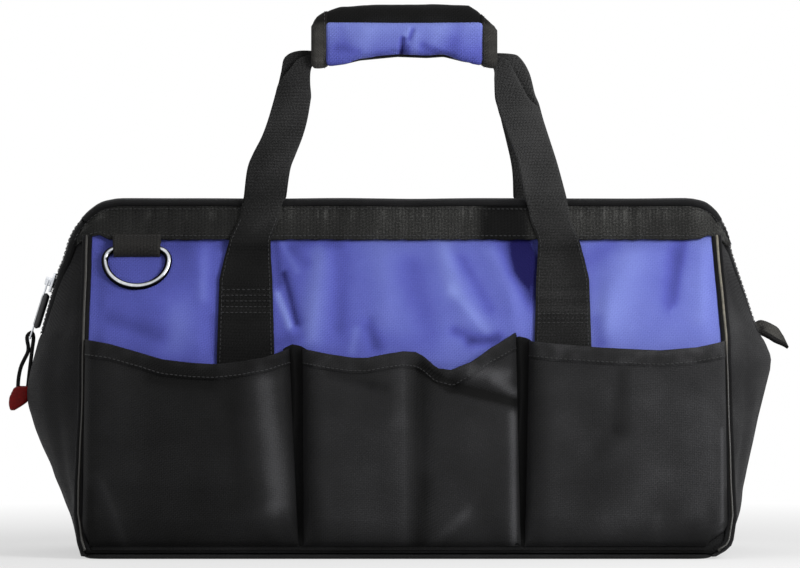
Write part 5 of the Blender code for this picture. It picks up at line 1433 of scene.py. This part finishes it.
def makeBase():
    # bottom panel: a flat cloth-covered plate with a soft rolled edge, drawn in under the ends of the bag
    halfX, halfY = bag["halfWidth"] + baseFacts["proudX"], bag["halfDepth"] + baseFacts["proudY"]
    corner, thick = baseFacts["corner"], baseFacts["thick"]
    outline = []
    for turn in range(0, 360, 5):
        angle = math.radians(turn + 2.5)
        c, s = math.cos(angle), math.sin(angle)
        outline.append(((halfX - corner) * (1 if c > 0 else -1) + corner * c,
                        (halfY - corner) * (1 if s > 0 else -1) + corner * s))
    outline = np.array(outline)
    rows = []
    for inset, z in baseFacts["rolls"]:
        # small insets are in metres, and the large ones are shares of the size
        shrink = 1 - inset * (np.array([1 / halfX, 1 / halfY]) if inset < 0.01 else np.ones(2))
        row = outline * shrink
        lift = 1 - z / thick
        row[:, 0] -= smooth((row[:, 0] - 0.19) / 0.03) * mix(0.0130, 0.0185, lift)
        row[:, 0] += smooth((-row[:, 0] - 0.19) / 0.03) * mix(0.0050, 0.0090, lift)
        rows.append(np.concatenate([row, np.full((len(outline), 1), z)], 1))
    base = sheetPiece("base_cloth", np.array(rows), blackCloth, closed=True, marks={"foldAndPaintedShade": -0.3})
    closeEnds(base, len(outline), softEdge=False)
    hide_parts("base_panel")
    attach(base, "root")
    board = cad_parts["base_board"]
    board.data.materials.clear()
    board.data.materials.append(hardBoard)


wireFacts = {"inset": 0.010, "bend": 0.022, "belowTop": 0.0085, "foot": 0.012, "out": -0.006,
             "radius": 0.0025}


def makeWires():
    # the steel wire that keeps each wall's edge straight
    bend = wireFacts["bend"]
    reach = bag["halfWidth"] - wireFacts["inset"]
    top = wallLength - wireFacts["belowTop"]
    line = [(-reach, up) for up in np.linspace(wireFacts["foot"], top - bend, 30)[:-1]]
    line += [(-reach + bend * (1 - math.cos(a)), top - bend * (1 - math.sin(a)))
             for a in np.radians(np.arange(0, 91, 6))]
    line += [(-x, up) for x, up in reversed(line)]
    x, up = np.array(line).T
    for label, side in sides.items():
        wire = tubePiece(label + "_edge_wire", onWall(side, x, up, wireFacts["out"]), wireFacts["radius"],
                         wireSteel, sides=12)
        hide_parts(label + "_frame_wire")
        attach(wire, label + "_wall")


tongueFacts = {"line": ((0.2480, 0.1596), (0.2540, 0.1588), (0.2600, 0.1560), (0.2655, 0.1524),
                        (0.2700, 0.1488)),
               "half": 0.0085, "twist": 0.55, "thick": 0.0022}


def makeTongue():
    # folded webbing tab at the right end of the zip. It twists, so its face shows from the front.
    places = frontCurve(tongueFacts["line"], 22)
    spread = np.linspace(-1, 1, 17)
    rows = []
    for here, (place, run) in enumerate(zip(places, directions(places))):
        share = here / (len(places) - 1)
        turn = tongueFacts["twist"] * smooth((share + 0.1) / 0.3)
        out = np.array([-run[2], 0, run[0]])
        across = np.array([0, 1.0, 0]) * math.cos(turn) + out * math.sin(turn)
        half = tongueFacts["half"] * (1 - 0.55 * smooth((share - 0.6) / 0.4))
        rows.append([place + across * half * k - run * 0.0040 * k * share ** 2 for k in spread])
    grid = np.array(rows)
    share = np.linspace(0, 1, len(rows))[:, None]
    # painted light around the middle of its length, painted shade along its low front edge and in the hole by
    # its root
    gap = np.exp(-((share - 0.22) / 0.07) ** 2 - ((spread[None, :] + 0.25) / 0.3) ** 2)
    shade = 0.45 * np.exp(-((share - 0.6) / 0.3) ** 2) - 2.0 * smooth((-0.5 - spread) / 0.12)[None, :]
    shade = shade - 1.6 * gap
    tongue = sheetPiece("zip_end_tongue", grid, tabWebbing, thick=tongueFacts["thick"], marks={"foldAndPaintedShade": shade})
    tongue.modifiers["thickness"].offset = 0.0
    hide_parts("zip_end_tab")
    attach(tongue, "root")


def endSwell(share, reach, least):
    # a quarter round at both ends of a moulding, as a share of its full thickness
    end = min(share, 1 - share) / reach
    return math.sqrt(max(1 - (1 - min(end, 1)) ** 2, least))


sleeveFacts = {"span": (0.0085, 0.0345), "half": 0.0052, "thick": 0.0028, "sunk": 0.0018}
# the tip: height, then its near and far edge, in millimetres from the end of the tab
tipOutline = ((-33.2, 0.4, 8.0), (-33.8, -0.1, 10.0), (-35.0, -0.5, 11.6), (-37.5, -0.6, 13.1),
              (-39.8, -0.6, 14.1), (-42.0, 0.0, 14.7), (-45.0, 2.2, 15.0), (-47.0, 5.0, 14.9),
              (-49.4, 8.8, 14.3), (-50.6, 11.0, 13.5))
tipGrooves = (0.22, 0.34)


def makeSliderAndPull():
    slider = roundedCopy("zip_slider", "zip_slider_body", 0.0006, chromedSteel, 3)
    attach(slider, "slider")
    tab = roundedCopy("pull_tab", "pull_tab_plate", 0.0004, chromedSteel, 2)
    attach(tab, "pull")
    # moulded rubber sleeve over the middle of the tab
    rows = []
    for along in np.linspace(0, 1, 22):
        place = pull["place"] - mix(*sleeveFacts["span"], along)
        swell = endSwell(along, 0.10, 0.02)
        ring = softRing(20, sleeveFacts["half"] * mix(0.86, 1, swell), 0.5, sleeveFacts["thick"] * swell, 0.7)
        rows.append([list(onZipEnd(place, y, pull["axisHeight"] + (out - sleeveFacts["sunk"])))
                     for y, out in ring])
    sleeve = sheetPiece("pull_sleeve", np.array(rows), blackRubber, closed=True)
    closeEnds(sleeve, 20)
    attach(sleeve, "pull")
    # moulded tip on the cord's ends, leaf-shaped and softer than its solid, with two shallow grooves
    heights, *edges = zip(*tipOutline)
    rows = []
    for share in np.linspace(0, 1, 30):
        up = mix(heights[0], heights[-1], share)
        near, far = (np.interp(-up, [-height for height in heights], edge) * mm for edge in edges)
        swell = endSwell(share, 0.12, 0.03)
        centre, half = (near + far) / 2, (far - near) / 2
        groove = 1.0
        for at in tipGrooves:
            groove = groove - 0.05 * math.exp(-((share - at) / 0.035) ** 2)
        ring = softRing(24, half * groove, 0.55, 0.0039 * swell * groove, 0.7)
        rows.append([list(offTab(centre + out, y, up * mm)) for out, y in ring])
    tip = sheetPiece("pull_tip_moulding", np.array(rows), redRubber, closed=True)
    closeEnds(tip, 24)
    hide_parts("pull_tip")
    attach(tip, "pull")
    tuple(cordPlaces[0])


def makeStitches():
    for group, lines in stitchLines.items():
        side = -1 if group.startswith("front") else 1
        facing = (0, side * leanCos, leanSin)
        thread = beadPiece(group + "_stitches", lines, sewingThread, stitchSizes, facing)
        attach(thread, group)


makeBase()
print("base")
for sideName, sideSign in sides.items():
    makeWall(sideName, sideSign)
    makeBand(sideName, sideSign)
    for pocketName in pocketFacts:
        makePocket(sideName, sideSign, pocketName)
    makePleats(sideName, sideSign)
    for endName in ends:
        makeSideTrim(sideName, sideSign, endName)
        makeGusset(endName, sideName, sideSign)
        makeStrap(sideName, sideSign, endName)
    makeRing(sideName, sideSign)
    makeZip(sideName, sideSign)
    makeGrip(sideName, sideSign)
    print(sideName, "side")
makePad()
print("grip pad")
makeWires()
makeTongue()
makeSliderAndPull()
makeStitches()
print("trim and stitches")

# studio: large soft lamps, white surroundings and a pale floor. A lamp has its place, target, size and power.
studio = {"world": 0.26, "floor": "#ececec", "floorRadius": 14.0,
          "lamps": {"key": ((0.78, -0.84, 0.66), (0, 0, 0.18), (0.5, 0.5), 10.5),
                    "fill": ((-1.6, -2.4, 1.0), (0, 0, 0.18), (1.2, 1.2), 6.0),
                    "top": ((0.0, 0.4, 2.4), (0, 0, 0.2), (2.0, 1.4), 8.0)}}

for lampName, (lampPlace, lampTarget, lampSize, lampPower) in studio["lamps"].items():
    lampData = bpy.data.lights.new(lampName, "AREA")
    lampData.shape = "RECTANGLE"
    lampData.size, lampData.size_y = lampSize
    lampData.energy = lampPower
    lamp = bpy.data.objects.new(lampName, lampData)
    bpy.context.scene.collection.objects.link(lamp)
    lamp.location = lampPlace
    lamp.rotation_euler = (Vector(lampTarget) - Vector(lampPlace)).to_track_quat("-Z", "Y").to_euler()

world = bpy.data.worlds.new("studio")
bpy.context.scene.world = world
world.use_nodes = True
worldTree = world.node_tree
worldTree.nodes.clear()


def directlySeen(tree):
    # 1 for what the camera sees, also in metal or through glass, and 0 for what lights the object
    rays = addNode(tree, "ShaderNodeLightPath")
    seen = addNode(tree, "ShaderNodeMath",
                   {0: rays.outputs["Is Camera Ray"], 1: rays.outputs["Is Glossy Ray"]}, operation="ADD")
    return addNode(tree, "ShaderNodeMath", {0: seen.outputs[0], 1: rays.outputs["Is Transmission Ray"]},
                   operation="ADD", use_clamp=True).outputs[0]


strength = addNode(worldTree, "ShaderNodeMix", {0: directlySeen(worldTree), 2: studio["world"], 3: 1.0})
light = addNode(worldTree, "ShaderNodeBackground", {"Color": (1, 1, 1, 1), "Strength": strength.outputs[0]})
addNode(worldTree, "ShaderNodeOutputWorld", {"Surface": light.outputs[0]})


def makeFloor():
    data = bpy.data.meshes.new("floor")
    build = bmesh.new()
    bmesh.ops.create_circle(build, cap_ends=True, segments=96, radius=studio["floorRadius"])
    build.to_mesh(data)
    build.free()
    material, tree, shader = newMaterial("paintedFloor")  # matt pale paint
    shader.inputs["Base Color"].default_value = hexToLinear(studio["floor"])
    shader.inputs["Roughness"].default_value = 0.9
    shader.inputs["Specular IOR Level"].default_value = 0.1
    # away from the object the floor turns to plain white, so that it meets the background without a line
    place = addNode(tree, "ShaderNodeTexCoord")
    far = addNode(tree, "ShaderNodeVectorMath", {0: place.outputs["Object"]}, operation="LENGTH")
    share = addNode(tree, "ShaderNodeMapRange", {0: far.outputs["Value"], 1: 0.35, 2: 1.0, 3: 0.55, 4: 1.0})
    amount = addNode(tree, "ShaderNodeMath", {0: share.outputs[0], 1: directlySeen(tree)},
                     operation="MULTIPLY")
    white = addNode(tree, "ShaderNodeEmission", {"Color": (1, 1, 1, 1), "Strength": 1.0})
    both = addNode(tree, "ShaderNodeMixShader", {0: amount.outputs[0], 1: shader.outputs[0],
                                                 2: white.outputs[0]})
    out = [node for node in tree.nodes if node.type == "OUTPUT_MATERIAL"][0]
    tree.links.new(both.outputs[0], out.inputs["Surface"])
    finishPiece("floor", data, material)


makeFloor()
bpy.context.scene.view_settings.view_transform = "Standard"
print("studio")
